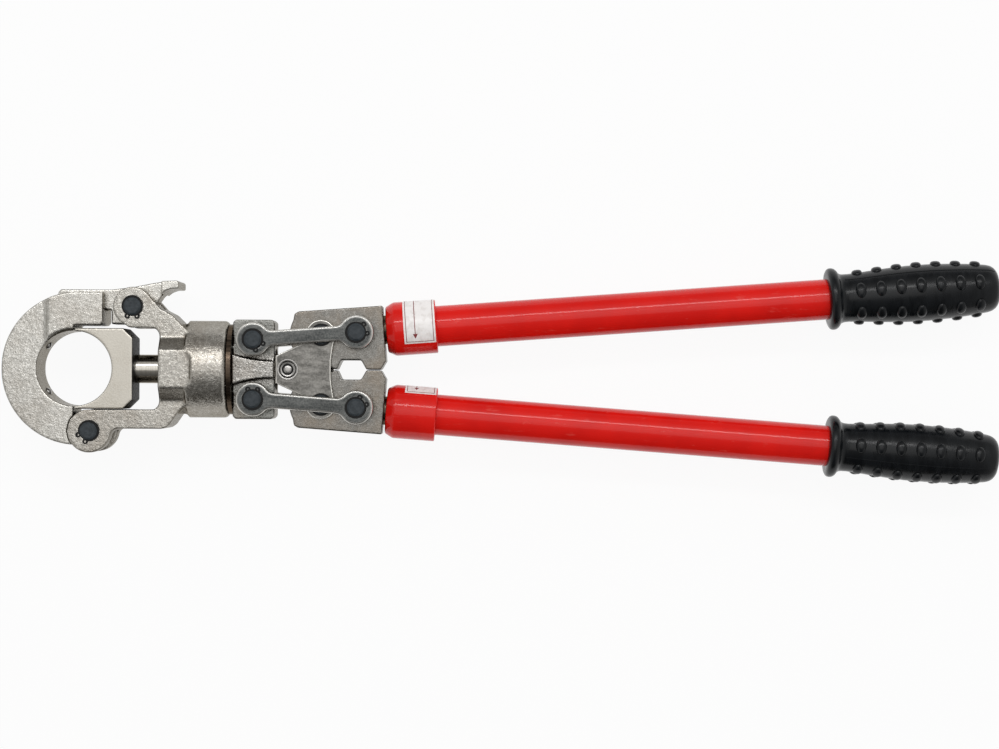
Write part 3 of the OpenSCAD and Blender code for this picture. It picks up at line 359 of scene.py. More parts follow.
def satin_nickel(look):
    material, tree, shader = start_material("satin_nickel", metallic=1.0, Specular_Tint=GRAZED)
    fine = grain(tree, 900, 3.0, 0.6, 0.40, 0.60)
    cloud = grain(tree, 60, 3.0, 0.5, 0.42, 0.62, 0.5)
    base = blend(tree, cloud, look.satin, SECOND["satin"])
    grained = blend(tree, fine, base, SECOND["satin_grain"])
    # Edges lighter by pointiness: partly wear, partly a painted highlight.
    bright = blend(tree, edges(tree, 0.52, 0.60), grained, SECOND["satin_edge"])
    join(tree, shader, Base_Color=bright, Roughness=remap(tree, fine, 0, 1, 0.34, 0.44),
         Normal=bump(tree, fine, 0.00004, 0.6))
    return material


def speckled(name, first, second, pattern, rough, depth=0, **sockets):
    """A finish whose colour, gloss and relief follow one grain."""
    material, tree, shader = start_material(name, **sockets)
    fine = grain(tree, *pattern)
    join(tree, shader, Base_Color=blend(tree, fine, first, second), Roughness=remap(tree, fine, 0, 1, *rough))
    if depth:
        join(tree, shader, Normal=bump(tree, fine, depth, 0.5))
    return material


# Painted shade: a near-black finish for the ram head's steep sides, where shade falls.
def ram_shaded_sides(look):
    return speckled("ram_shaded_sides", look.scale, SECOND["scale"], (700, 3.0, 0.6, 0.40, 0.60),
                    rough=(0.45, 0.60), depth=0.00005, Specular_IOR_Level=0.12)


def polished_steel(look):
    """Ground on a lathe: fine rings across the tool's axis."""
    material, tree, shader = start_material("polished_steel", metallic=1.0, Specular_Tint=GRAZED)
    rings = grain(tree, 60, 4.0, 0.7, 0.38, 0.62, stretch=(60, 1, 1))
    cloud = remap(tree, noise(tree, 90, 2.0, 0.5), 0.38, 0.62, 0.10, 0.20)
    base = blend(tree, rings, look.rod, SECOND["rod"])
    join(tree, shader, Base_Color=base, Roughness=cloud, Normal=bump(tree, rings, 0.00001, 0.5))
    return material


def browned_steel(look):
    return speckled("browned_steel", look.browned, SECOND["browned"], (70, 4.0, 0.7, 0.38, 0.62, 1, (1, 8, 8)),
                    rough=(0.20, 0.32), depth=0.00003, metallic=1.0, Specular_Tint=GRAZED)


def tumbled(name, oxide, worn, bright, speck):
    """Oxidised steel, lighter on its edges: partly rubbed bright by tumbling, partly a painted highlight."""
    material, tree, shader = start_material(name, metallic=1.0, Specular_Tint=GRAZED)
    fine = grain(tree, 800, 3.0, 0.65, 0.42, 0.62, speck)
    streak = grain(tree, 150, 4.0, 0.65, 0.40, 0.62, stretch=(0.5, 1.5, 1.5))
    cloud = grain(tree, 60, 3.0, 0.6, 0.40, 0.62)
    base = blend(tree, streak, oxide, worn)
    speckled = blend(tree, fine, base, bright)
    # Edges lighter by pointiness: partly wear from tumbling, partly a painted highlight on the bevels.
    rubbed = blend(tree, edges(tree, 0.503, 0.520), speckled, bright)
    normal = bump(tree, streak, 0.00005, 0.5)
    normal = bump(tree, fine, 0.00002, 0.6, normal)
    join(tree, shader, Base_Color=rubbed, Roughness=remap(tree, cloud, 0, 1, 0.22, 0.34), Normal=normal)
    return material


def link_steel(look):
    return tumbled("link_steel", look.link, SECOND["link"], SECOND["link_edge"], speck=0.07)


def plate_steel(look):
    return tumbled("plate_steel", look.plate, SECOND["plate"], SECOND["plate_edge"], speck=0.10)


def blued_pin(look):
    material, tree, shader = start_material("blued_pin", Specular_IOR_Level=0.4)
    fine = grain(tree, 900, 3.0, 0.65, 0.40, 0.60)
    cloud = grain(tree, 320, 2.0, 0.5, 0.40, 0.60)
    base = blend(tree, cloud, look.pin, SECOND["pin"])
    join(tree, shader, Base_Color=base, Roughness=remap(tree, fine, 0, 1, 0.42, 0.58),
         Normal=bump(tree, fine, 0.00005, 0.5))
    return material


def phosphated_clip(look):
    return speckled("phosphated_clip", look.clip, SECOND["clip"], (1300, 2.0, 0.6, 0.40, 0.60),
                    rough=(0.30, 0.44), depth=0.00003, Specular_IOR_Level=0.18)


def drawn_wire(look):
    material, tree, shader = start_material("drawn_wire", metallic=1.0)
    fine = noise(tree, 1600, 2.0, 0.6)
    base = blend(tree, remap(tree, fine, 0.35, 0.7, 0, 1), look.wire, SECOND["wire"])
    join(tree, shader, Base_Color=base, Roughness=remap(tree, fine, 0.3, 0.7, 0.22, 0.36))
    return material


def turned_bronze(look):
    material, tree, shader = start_material("turned_bronze", metallic=1.0)
    rings = noise(tree, 60, 4.0, 0.7, (50, 1, 1))
    base = blend(tree, remap(tree, rings, 0.3, 0.7, 0, 1), look.bronze, SECOND["bronze"])
    join(tree, shader, Base_Color=base, Roughness=remap(tree, rings, 0.3, 0.7, 0.24, 0.38),
         Normal=bump(tree, rings, 0.00004, 0.5))
    return material


def moulded_nylon(look):
    material, tree, shader = start_material("moulded_nylon")
    fine = noise(tree, 600, 2.0, 0.5)
    base = blend(tree, remap(tree, fine, 0.3, 0.7, 0, 1), look.nylon, SECOND["nylon"])
    join(tree, shader, Base_Color=base, Roughness=remap(tree, fine, 0.3, 0.7, 0.40, 0.52),
         Normal=bump(tree, fine, 0.00005, 0.4))
    return material


def red_paint(look):
    """Gloss paint with a faint orange peel and a few rubs of lower gloss."""
    material, tree, shader = start_material("red_paint", Coat_Weight=0.25, Coat_Roughness=0.04,
                                            Specular_IOR_Level=0.2)
    peel = grain(tree, 420, 2.0, 0.45, 0.38, 0.62)
    cloud = grain(tree, 30, 3.0, 0.55, 0.40, 0.62, 0.7)
    rubs = grain(tree, 260, 5.0, 0.7, 0.60, 0.68, stretch=(0.22, 1, 1))
    base = blend(tree, cloud, look.red, SECOND["red"])
    retoned = blend(tree, remap(tree, rubs, 0, 1, 0, 0.35), base, SECOND["red_rub"])
    join(tree, shader, Base_Color=retoned, Roughness=remap(tree, rubs, 0, 1, 0.16, 0.40),
         Normal=bump(tree, peel, 0.000008, 0.5))
    return material


def moulded_rubber(look):
    material, tree, shader = start_material("moulded_rubber", Specular_IOR_Level=0.28)
    fine = grain(tree, 1000, 3.0, 0.6, 0.40, 0.60)
    cloud = grain(tree, 90, 3.0, 0.6, 0.40, 0.60, stretch=(2.2, 0.8, 0.8))
    base = blend(tree, cloud, look.rubber, SECOND["rubber"])
    join(tree, shader, Base_Color=base, Roughness=remap(tree, cloud, 0, 1, 0.19, 0.30),
         Normal=bump(tree, fine, 0.00002, 0.5))
    return material


def label_vinyl(look):
    return speckled("label_vinyl", look.label, SECOND["label"], (220, 3.0, 0.6, 0.46, 0.64), rough=(0.28, 0.40))


def label_ink(look):
    return speckled("label_ink", look.ink, SECOND["ink"], (900, 2.0, 0.6, 0.42, 0.60), rough=(0.32, 0.46))


def finish(name):
    """The named finish, made once."""
    made = bpy.data.materials.get(PREFIX + name)
    if made:
        return made
    return MAKERS[name](bpy.context.scene.crimper_finishes)


MAKERS = {maker.__name__: maker for maker in (
    forged_nickel, body_nickel, block_nickel, arm_nickel, satin_nickel, ram_shaded_sides, polished_steel, browned_steel,
    link_steel, plate_steel, blued_pin, phosphated_clip, drawn_wire, turned_bronze, moulded_nylon, red_paint,
    moulded_rubber, label_vinyl, label_ink)}


# Shapes

def new_piece(name, mesh, *finishes):
    piece = bpy.data.objects.new(name, mesh)
    bpy.context.scene.collection.objects.link(piece)
    for entry in finishes:
        mesh.materials.append(finish(entry))
    return piece


def settle(piece, body, slot, *nodes):
    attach(piece, body)
    if nodes:
        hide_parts(*nodes)


def carry(names, look):
    """Gives CAD nodes that keep their own shape a finish."""
    for name in names:
        node = frame["nodes"][name]
        if not node.material_slots:
            node.data.materials.append(None)
        for place in node.material_slots:
            place.material = finish(look)


def forge(name, node, body, cell, passes, look, slot, sides=None):
    """A copy of a CAD solid with the soft edges of a tumbled forging; steep faces can have a finish of their own, such
    as the ram head's painted shade.
    """
    mesh = frame["nodes"][node].data.copy()
    mesh.materials.clear()
    shell = bmesh.new()
    shell.from_mesh(mesh)
    bmesh.ops.remove_doubles(shell, verts=shell.verts, dist=WELD)
    shell.to_mesh(mesh)
    shell.free()
    piece = new_piece(name, mesh, look)
    cells = piece.modifiers.new("cells", "REMESH")
    cells.mode = "VOXEL"
    cells.voxel_size = cell
    tumble = piece.modifiers.new("tumble", "SMOOTH")
    tumble.factor = TUMBLE_FACTOR
    tumble.iterations = passes
    depsgraph = bpy.context.evaluated_depsgraph_get()
    rounded = bpy.data.meshes.new_from_object(piece.evaluated_get(depsgraph))
    if len(rounded.polygons) < LEAST_FACES:
        raise RuntimeError(f"{name}: rounding left no surface")
    piece.modifiers.clear()
    piece.data = rounded
    rounded.materials.clear()
    rounded.materials.append(finish(look))
    if sides:
        rounded.materials.append(finish(sides))
        for face in rounded.polygons:
            face.material_index = int(abs(face.normal.z) < STEEP_FACE)
    rounded.shade_smooth()
    settle(piece, body, slot, node)


def islands(mesh):
    """Low and high corners of each separate solid in a mesh."""
    shell = bmesh.new()
    shell.from_mesh(mesh)
    bmesh.ops.remove_doubles(shell, verts=shell.verts, dist=WELD)
    left = set(shell.verts)
    boxes = []
    while left:
        todo = [left.pop()]
        found = []
        while todo:
            vert = todo.pop()
            found.append(vert.co.copy())
            for edge in vert.link_edges:
                other = edge.other_vert(vert)
                if other in left:
                    left.discard(other)
                    todo.append(other)
        boxes.append((Vector([min(co[i] for co in found) for i in range(3)]),
                      Vector([max(co[i] for co in found) for i in range(3)])))
    shell.free()
    return sorted(boxes, key=lambda box: tuple(box[0]))


def handle_place(side):
    """Matrix of a handle: x along it from the pivot, y sideways towards the latch side, z up."""
    joint = JOINTS[side + "_collar_twist"]
    along = Vector(joint["axis"]).normalized()
    across = Vector((-along.y, along.x, 0))
    up = along.cross(across)
    place = Matrix((along, across, up)).transposed().to_4x4()
    place.translation = Vector(joint["pos_m"]) - along * COLLAR_MARK
    return place


def upright(middle):
    """Matrix of a cross pin: x along it, upwards."""
    return Matrix(((0, 0, -1, middle.x), (0, 1, 0, middle.y), (1, 0, 0, middle.z), (0, 0, 0, 1)))


def around(place, u, radius, turn):
    """Point at u along a handle or pin; on a handle, turn is from the top towards +Y."""
    return place @ Vector((u, radius * math.sin(turn), radius * math.cos(turn)))


def eased(points, radius, steps=5):
    """A closed profile whose corners are rounded."""
    result = []
    count = len(points)
    for index, corner in enumerate(points):
        corner = Vector(corner)
        before = Vector(points[index - 1]) - corner
        after = Vector(points[(index + 1) % count]) - corner
        reach = min(radius, EASE_SHARE * before.length, EASE_SHARE * after.length)
        start = corner + before.normalized() * reach
        end = corner + after.normalized() * reach
        for step in range(steps + 1):
            t = step / steps
            result.append(start * (1 - t) ** 2 + corner * (2 * t * (1 - t)) + end * t ** 2)
    return result


def turned(place, profile, segments, closed=True):
    """Revolves (u, radius) points about the axis of a handle or pin."""
    shape = bmesh.new()
    rings = []
    for u, radius in profile:
        if radius < WELD:
            rings.append([shape.verts.new(around(place, u, 0, 0))] * segments)
        else:
            rings.append([shape.verts.new(around(place, u, radius, math.tau * k / segments)) for k in range(segments)])
    pairs = list(zip(rings, rings[1:]))
    if closed:
        pairs.append((rings[-1], rings[0]))
    for one, two in pairs:
        for k in range(segments):
            corners = [one[k], one[(k + 1) % segments], two[(k + 1) % segments], two[k]]
            corners = [v for i, v in enumerate(corners) if v not in corners[:i]]
            if len(corners) > 2:
                shape.faces.new(corners)
    return shape


def shaped(shape, name, *finishes, angle=SHARP):
    """A piece of a shape, smooth between its sharp edges."""
    bmesh.ops.recalc_face_normals(shape, faces=shape.faces)
    mesh = bpy.data.meshes.new(name)
    shape.to_mesh(mesh)
    shape.free()
    mesh.shade_smooth()
    mesh.set_sharp_from_angle(angle=math.radians(angle))
    return new_piece(name, mesh, *finishes)


# Rounding of a painted tube's and a collar's edges.
TUBE_EDGE = 0.0006
COLLAR_EDGE = 0.0011
COLLAR_EDGE_STEPS = 6
# Inside of a collar: slack over the tube, gap before it, front wall with its hole, and cone on the collet.
COLLAR_SLACK = 0.00025
COLLAR_GAP = 0.0003
COLLAR_WALL = 0.006
COLLAR_HOLE = 0.0106
CONE_NARROW = 0.0127
CONE_WIDE = 0.0146
# Bevel at the front of a collar.
BEVEL_HEIGHT = 0.003
BEVEL_LENGTH = 0.0056
# Edges of the labels, in degrees from the handle's top towards +Y.
LABEL_TURNS = {"upper": (-37, 104), "lower": (47, 188)}
# Heights of the vinyl over the collar and of the ink over the vinyl.
VINYL_LIFT = 0.00008
INK_LIFT = 0.00004
LABEL_STRIPS = 48
FRAME_INSET = 0.0013
FRAME_LINE = 0.00045
FRAME_STRIPS = 40
# Arrow on a label: its place from the label's front, where its tip starts, its head and its shaft.
ARROW_PLACE = 0.0078
ARROW_START = math.radians(12)
ARROW_LENGTH = 0.0034
ARROW_HALF = 0.0017
ARROW_SLICES = 10
SHAFT_HALF = 0.00027
SHAFT_STRIPS = 32
# End of the push pin, as heights over the CAD pin's end and radii.
RIVET_END = ((-0.0004, 0.0060), (-0.0004, 0.0074), (-0.0001, 0.0072), (0, 0.0066), (-0.0003, 0.0059),
             (-0.0006, 0.0057), (-0.0001, 0.0054), (0.0002, 0.0048), (0, 0.0040), (-0.0012, 0.0037),
             (-0.0012, 0.0029), (-0.0003, 0.0027), (0, 0.0020), (0.0001, 0.0010), (0.0001, 0.0))
# Grooves in that end, from radius to radius, painted dark as shade.
RIVET_SHADED_GROOVES = ((0.0028, 0.0039), (0.0055, 0.0060))
# Slack of a grip over its tube, and gap behind the tube's end.
GRIP_SLACK = 0.00003
GRIP_END_GAP = 0.0001
# Grip outlines, as shares of its length and of the flange's or the belly's radius.
GRIP_FLANGE = ((0.0, 0.80), (0.003, 0.90), (0.010, 0.965), (0.018, 0.992), (0.027, 1.0), (0.037, 0.996), (0.046, 0.98),
               (0.055, 0.945), (0.062, 0.90))
GRIP_BELLY = ((0.069, 0.915), (0.077, 0.880), (0.086, 0.858), (0.096, 0.848), (0.123, 0.843), (0.181, 0.866),
              (0.239, 0.895), (0.297, 0.924), (0.355, 0.953), (0.412, 0.976), (0.47, 0.993), (0.528, 0.997),
              (0.586, 0.997), (0.644, 0.987), (0.702, 0.973), (0.760, 0.951), (0.818, 0.925), (0.876, 0.888),
              (0.934, 0.845), (0.954, 0.815), (0.968, 0.78), (0.980, 0.73), (0.989, 0.67), (0.996, 0.60), (1.0, 0.52))
# Rows of studs, as turns from the mould's seam.
STUD_TURNS = (33.5, 90, 146.5, 213.5, 270, 326.5)
STUDS_IN_ROW = 7
STUD_FIRST = 0.181
STUD_PITCH = 0.1158
STUD_SEGMENTS = 20
# A stud's rings, as shares of its half length or width and of its height.
STUD_LEVELS = ((1.02, -0.45), (1.0, 0.0), (0.985, 0.16), (0.93, 0.42), (0.82, 0.66), (0.62, 0.86), (0.34, 0.97))
# Share of the grip's length over which a stud takes the belly's slope.
STUD_TILT = 0.04
SEAM_TURN = {"upper": math.radians(48.5), "lower": math.radians(-25)}
SEAM_START = 0.10
SEAM_RUN = 0.875
SEAM_STEPS = 48
# Section of the seam, as sideways places and heights over the belly.
SEAM_SECTION = ((-0.0008, -0.0003), (-0.00035, 0.0004), (0.00035, 0.0004), (0.0008, -0.0003))


def belly(share):
    """Radius of the grip's belly at a share of its length, as a share of its widest."""
    for (a, ra), (b, rb) in zip(GRIP_BELLY, GRIP_BELLY[1:]):
        if a <= share <= b:
            return ra + (rb - ra) * (share - a) / (b - a)
    return GRIP_BELLY[-1][1]


def add_stud(shape, place, sizes, share, turn):
    """One rounded stud, its foot sunk in the belly."""
    u = sizes.grip_front + share * sizes.grip_length
    base = belly(share) * sizes.grip_radius
    rise = belly(share + STUD_TILT / 2) - belly(share - STUD_TILT / 2)
    slope = rise * sizes.grip_radius / (STUD_TILT * sizes.grip_length)
    rings = []
    for spread, height in STUD_LEVELS:
        ring = []
        for k in range(STUD_SEGMENTS):
            angle = math.tau * k / STUD_SEGMENTS
            along = spread * sizes.stud_length * math.cos(angle)
            swing = spread * sizes.stud_width * math.sin(angle) / base
            radius = base + slope * along + height * sizes.stud_height
            ring.append(shape.verts.new(around(place, u + along, radius, turn + swing)))
        rings.append(ring)
    top = shape.verts.new(around(place, u, base + sizes.stud_height, turn))
    for k in range(STUD_SEGMENTS):
        after = (k + 1) % STUD_SEGMENTS
        for one, two in zip(rings, rings[1:]):
            shape.faces.new((one[k], one[after], two[after], two[k]))
        shape.faces.new((rings[-1][k], rings[-1][after], top))
    shape.faces.new(list(reversed(rings[0])))


def add_seam(shape, place, sizes, turn):
    """The faint raised line where the mould halves met."""
    rows = []
    for step in range(SEAM_STEPS + 1):
        share = SEAM_START + SEAM_RUN * step / SEAM_STEPS
        base = belly(share) * sizes.grip_radius
        u = sizes.grip_front + share * sizes.grip_length
        rows.append([shape.verts.new(around(place, u, base + lift, turn + side / base))
                     for side, lift in SEAM_SECTION])
    for one, two in zip(rows, rows[1:]):
        for k in range(len(SEAM_SECTION) - 1):
            shape.faces.new((one[k], one[k + 1], two[k + 1], two[k]))
    shape.faces.new(rows[0])
    shape.faces.new(list(reversed(rows[-1])))


def add_patch(shape, place, radius, corners, slot, cut):
    """A rectangle between two (u, turn) corners wrapped on a cylinder, cut into strips across its turn."""
    (u0, t0), (u1, t1) = corners
    rows = []
    for k in range(cut + 1):
        turn = t0 + (t1 - t0) * k / cut
        rows.append([shape.verts.new(around(place, u, radius, turn)) for u in (u0, u1)])
    for (a, b), (c, d) in zip(rows, rows[1:]):
        shape.faces.new((a, b, d, c)).material_index = slot


# Operators

class CRIMPER_OT_head(Operator):
    """Rounded forgings of the head: body, hinged jaw and latch"""
    bl_idname = "crimper.head"
    bl_label = "Head forgings"

    def execute(self, context):
        cells = context.scene.crimper_forgings
        forge("forged_head", "head_body", "head", cells.head_cell, cells.passes, "body_nickel", "forged_nickel")
        forge("forged_jaw", "hinge_jaw", "jaw", cells.jaw_cell, cells.jaw_passes, "forged_nickel", "forged_nickel")
        forge("forged_latch", "latch", "latch", cells.small_cell, cells.passes, "forged_nickel", "forged_nickel")
        return {"FINISHED"}


class CRIMPER_OT_ram(Operator):
    """Ram head with eased edges, and the polished rod behind it"""
    bl_idname = "crimper.ram"
    bl_label = "Ram"

    def execute(self, context):
        cells = context.scene.crimper_forgings
        # The ram head's steep sides take a near-black finish as painted shade.
        forge("machined_ram_head", "ram_head", "ram", cells.small_cell, cells.ram_passes, "satin_nickel",
              "satin_nickel", "ram_shaded_sides")
        carry(("ram_rod", "ram_button", "swivel_nut", "ram_tongue"), "polished_steel")
        carry(("swivel_ring", "thrust_washer"), "browned_steel")
        carry(("ram_bush",), "turned_bronze")
        return {"FINISHED"}


class CRIMPER_OT_toggle(Operator):
    """Toggle block, arms, links and push plates"""
    bl_idname = "crimper.toggle"
    bl_label = "Toggle"

    def execute(self, context):
        cells = context.scene.crimper_forgings
        forge("forged_block", "toggle_block", "block", cells.small_cell, cells.passes, "block_nickel", "forged_nickel")
        for side in SIDES:
            forge(f"forged_{side}_arm", f"{side}_arm", f"{side}_handle", cells.small_cell, cells.passes,
                  "arm_nickel", "forged_nickel")
            for face in ("front", "rear"):
                forge(f"tumbled_{side}_{face}_link", f"{side}_{face}_link", f"{side}_links", cells.link_cell,
                      cells.link_passes, "link_steel", "link_steel")
        for face in ("front", "rear"):
            forge(f"tumbled_{face}_plate", f"{face}_push_plate", "crosshead", cells.link_cell, cells.passes,
                  "plate_steel", "link_steel")
        return {"FINISHED"}


class CRIMPER_OT_pins(Operator):
    """Pins, circlips, detents and springs"""
    bl_idname = "crimper.pins"
    bl_label = "Pins and clips"

    def execute(self, context):
        names = sorted(frame["nodes"])
        carry([name for name in names if name.endswith("circlips")], "phosphated_clip")
        carry([name for name in names if name.endswith(("spring", "detent"))], "drawn_wire")
        for node, body in (("jaw_pin", "head"), ("latch_pin", "head"), ("anchor_pins", "block"),
                           ("upper_link_pin", "upper_links"), ("lower_link_pin", "lower_links")):
            self.turn_pins(node, body)
        carry(("pivot_pins",), "blued_pin")
        self.turn_rivet()
        return {"FINISHED"}

    def turn_pins(self, node, body):
        """A node's pins, their ends broadly chamfered."""
        sizes = bpy.context.scene.crimper_forgings
        shape = bmesh.new()
        for low, high in islands(frame["nodes"][node].data):
            middle = (low + high) / 2
            reach, radius = (high.z - low.z) / 2, (high.x - low.x) / 2
            inner = radius - sizes.pin_chamfer
            slope = sizes.pin_chamfer * CHAMFER_SLOPE
            profile = [(-reach, 0), (-reach, inner), (slope - reach, radius), (reach - slope, radius), (reach, inner),
                       (reach, 0)]
            pin = turned(upright(middle), profile, ROUND_SEGMENTS, False)
            bmesh.ops.recalc_face_normals(pin, faces=pin.faces)
            part = bpy.data.meshes.new("pin")
            pin.to_mesh(part)
            pin.free()
            shape.from_mesh(part)
            bpy.data.meshes.remove(part)
        piece = shaped(shape, "turned_" + node, "blued_pin", angle=PIN_SHARP)
        settle(piece, body, "black_pin", node)

    def turn_rivet(self):
        """The push pin, its ends headed over the plates and ringed by the riveting tool."""
        low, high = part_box("push_pin")
        middle = (Vector(low) + Vector(high)) / 2
        reach = (high[2] - low[2]) / 2
        end = [(reach + rise, radius) for rise, radius in RIVET_END]
        profile = [(-u, radius) for u, radius in reversed(end)] + end
        shape = turned(upright(middle), profile, ROUND_SEGMENTS, False)
        # Painted shade: faces in the grooves take the black clip finish.
        for face in shape.faces:
            radius = (face.calc_center_median() - middle).xy.length
            face.material_index = int(any(inner < radius < outer for inner, outer in RIVET_SHADED_GROOVES))
        piece = shaped(shape, "headed_push_pin", "drawn_wire", "phosphated_clip")
        settle(piece, "crosshead", "black_pin", "push_pin")


class CRIMPER_OT_tubes(Operator):
    """Red outer tubes, and the guide tubes and bushes inside them"""
    bl_idname = "crimper.tubes"
    bl_label = "Tubes"

    def execute(self, context):
        sizes = context.scene.crimper_handles
        for side in SIDES:
            profile = eased([(sizes.tube_front, sizes.tube_radius), (sizes.tube_rear, sizes.tube_radius),
                             (sizes.tube_rear, sizes.tube_bore), (sizes.tube_front, sizes.tube_bore)], TUBE_EDGE)
            shape = turned(handle_place(side), profile, TUBE_SEGMENTS)
            piece = shaped(shape, f"painted_{side}_tube", "red_paint")
            settle(piece, f"{side}_extension", "red_paint", f"{side}_tube")
            carry((f"{side}_guide_tube", f"{side}_guide_pin", f"{side}_collet"), "browned_steel")
            carry((f"{side}_stop_bush", f"{side}_front_bush"), "moulded_nylon")
        return {"FINISHED"}


class CRIMPER_OT_collars(Operator):
    """Clamping collars with their labels"""
    bl_idname = "crimper.collars"
    bl_label = "Collars and labels"

    def execute(self, context):
        sizes = context.scene.crimper_handles
        front = sizes.collar_front
        rear = front + sizes.collar_length
        outer = sizes.collar_radius
        bore = sizes.tube_radius + COLLAR_SLACK
        seat = sizes.tube_front - COLLAR_GAP
        wall = front + COLLAR_WALL
        section = [(front, COLLAR_HOLE), (front, outer - BEVEL_HEIGHT), (front + BEVEL_LENGTH, outer), (rear, outer),
                   (rear, bore), (seat, bore), (seat, CONE_WIDE), (wall, CONE_NARROW), (wall, COLLAR_HOLE)]
        for side in SIDES:
            place = handle_place(side)
            shape = turned(place, eased(section, COLLAR_EDGE, COLLAR_EDGE_STEPS), TUBE_SEGMENTS)
            piece = shaped(shape, f"painted_{side}_collar", "red_paint")
            settle(piece, f"{side}_collar", "red_paint", f"{side}_collar")
            self.add_label(side, place, sizes)
        return {"FINISHED"}

    def add_label(self, side, place, sizes):
        """A label wrapped on a collar, with a printed frame and an arrow around the collar."""
        skin = sizes.collar_radius + VINYL_LIFT
        ink = skin + INK_LIFT
        low, high = (math.radians(turn) for turn in LABEL_TURNS[side])
        shape = bmesh.new()
        add_patch(shape, place, skin, ((sizes.label_front, low), (sizes.label_rear, high)), 0, LABEL_STRIPS)
        swing, thick = FRAME_INSET / skin, FRAME_LINE / skin
        front, rear = sizes.label_front + FRAME_INSET, sizes.label_rear - FRAME_INSET
        start, end = low + swing, high - swing
        for corners in (((front, start), (front + FRAME_LINE, end)), ((rear - FRAME_LINE, start), (rear, end)),
                        ((front, start), (rear, start + thick)), ((front, end - thick), (rear, end))):
            add_patch(shape, place, ink, corners, 1, FRAME_STRIPS)
        middle = sizes.label_front + ARROW_PLACE
        tip = low + ARROW_START
        neck = tip + ARROW_LENGTH / skin
        add_patch(shape, place, ink, ((middle - SHAFT_HALF, neck), (middle + SHAFT_HALF, high - 3 * swing)), 1,
                  SHAFT_STRIPS)
        for k in range(ARROW_SLICES):
            wide = ARROW_HALF * (1 - (k + 0.5) / ARROW_SLICES)
            start, end = (neck + (tip - neck) * step / ARROW_SLICES for step in (k, k + 1))
            add_patch(shape, place, ink, ((middle - wide, start), (middle + wide, end)), 1, 1)
        piece = shaped(shape, f"{side}_label", "label_vinyl", "label_ink")
        settle(piece, f"{side}_collar", "nylon")


class CRIMPER_OT_grips(Operator):
    """Studded rubber grips"""
    bl_idname = "crimper.grips"
    bl_label = "Grips"

    def execute(self, context):
        sizes = context.scene.crimper_handles
        for side in SIDES:
            place = handle_place(side)
            outline = [(sizes.grip_front + s * sizes.grip_length, r * sizes.flange_radius) for s, r in GRIP_FLANGE]
            outline += [(sizes.grip_front + s * sizes.grip_length, r * sizes.grip_radius) for s, r in GRIP_BELLY]
            rear = sizes.grip_front + sizes.grip_length
            floor = sizes.tube_rear + GRIP_END_GAP
            wall = sizes.tube_radius + GRIP_SLACK
            outline += [(rear, 0), (floor, 0), (floor, wall), (sizes.grip_front, wall)]
            shape = turned(place, outline, GRIP_SEGMENTS)
            for row in STUD_TURNS:
                for index in range(STUDS_IN_ROW):
                    add_stud(shape, place, sizes, STUD_FIRST + STUD_PITCH * index, SEAM_TURN[side] + math.radians(row))
            for half in (0, math.pi):
                add_seam(shape, place, sizes, SEAM_TURN[side] + half)
            piece = shaped(shape, f"rubber_{side}_grip", "moulded_rubber", angle=GRIP_SHARP)
            settle(piece, f"{side}_extension", "black_rubber", f"{side}_grip")
        return {"FINISHED"}


SENSOR_WIDTH = 36
CLIP_START = 0.01
# Direction of the brightest part of the dome, and the dome's tones from below to there.
DOME_LEAN = (0, 0.4226, 0.9063)
DOME_ENDS = ((0.35, (0.035, 0.030, 0.024)), (0.99, (0.92, 0.92, 0.92)))
DOME_TONES = ((0.60, 0.11), (0.80, 0.21), (0.91, 0.38), (0.953, 0.65))
# Walls to both ends, the band low around the tool and the dark flag in it.
PALE_WALL = (0.66, 0.66, 0.65)
LOW_BAND = (0.35, 0.35, 0.35)
DARK_FLAG = (0.10, 0.09, 0.075)


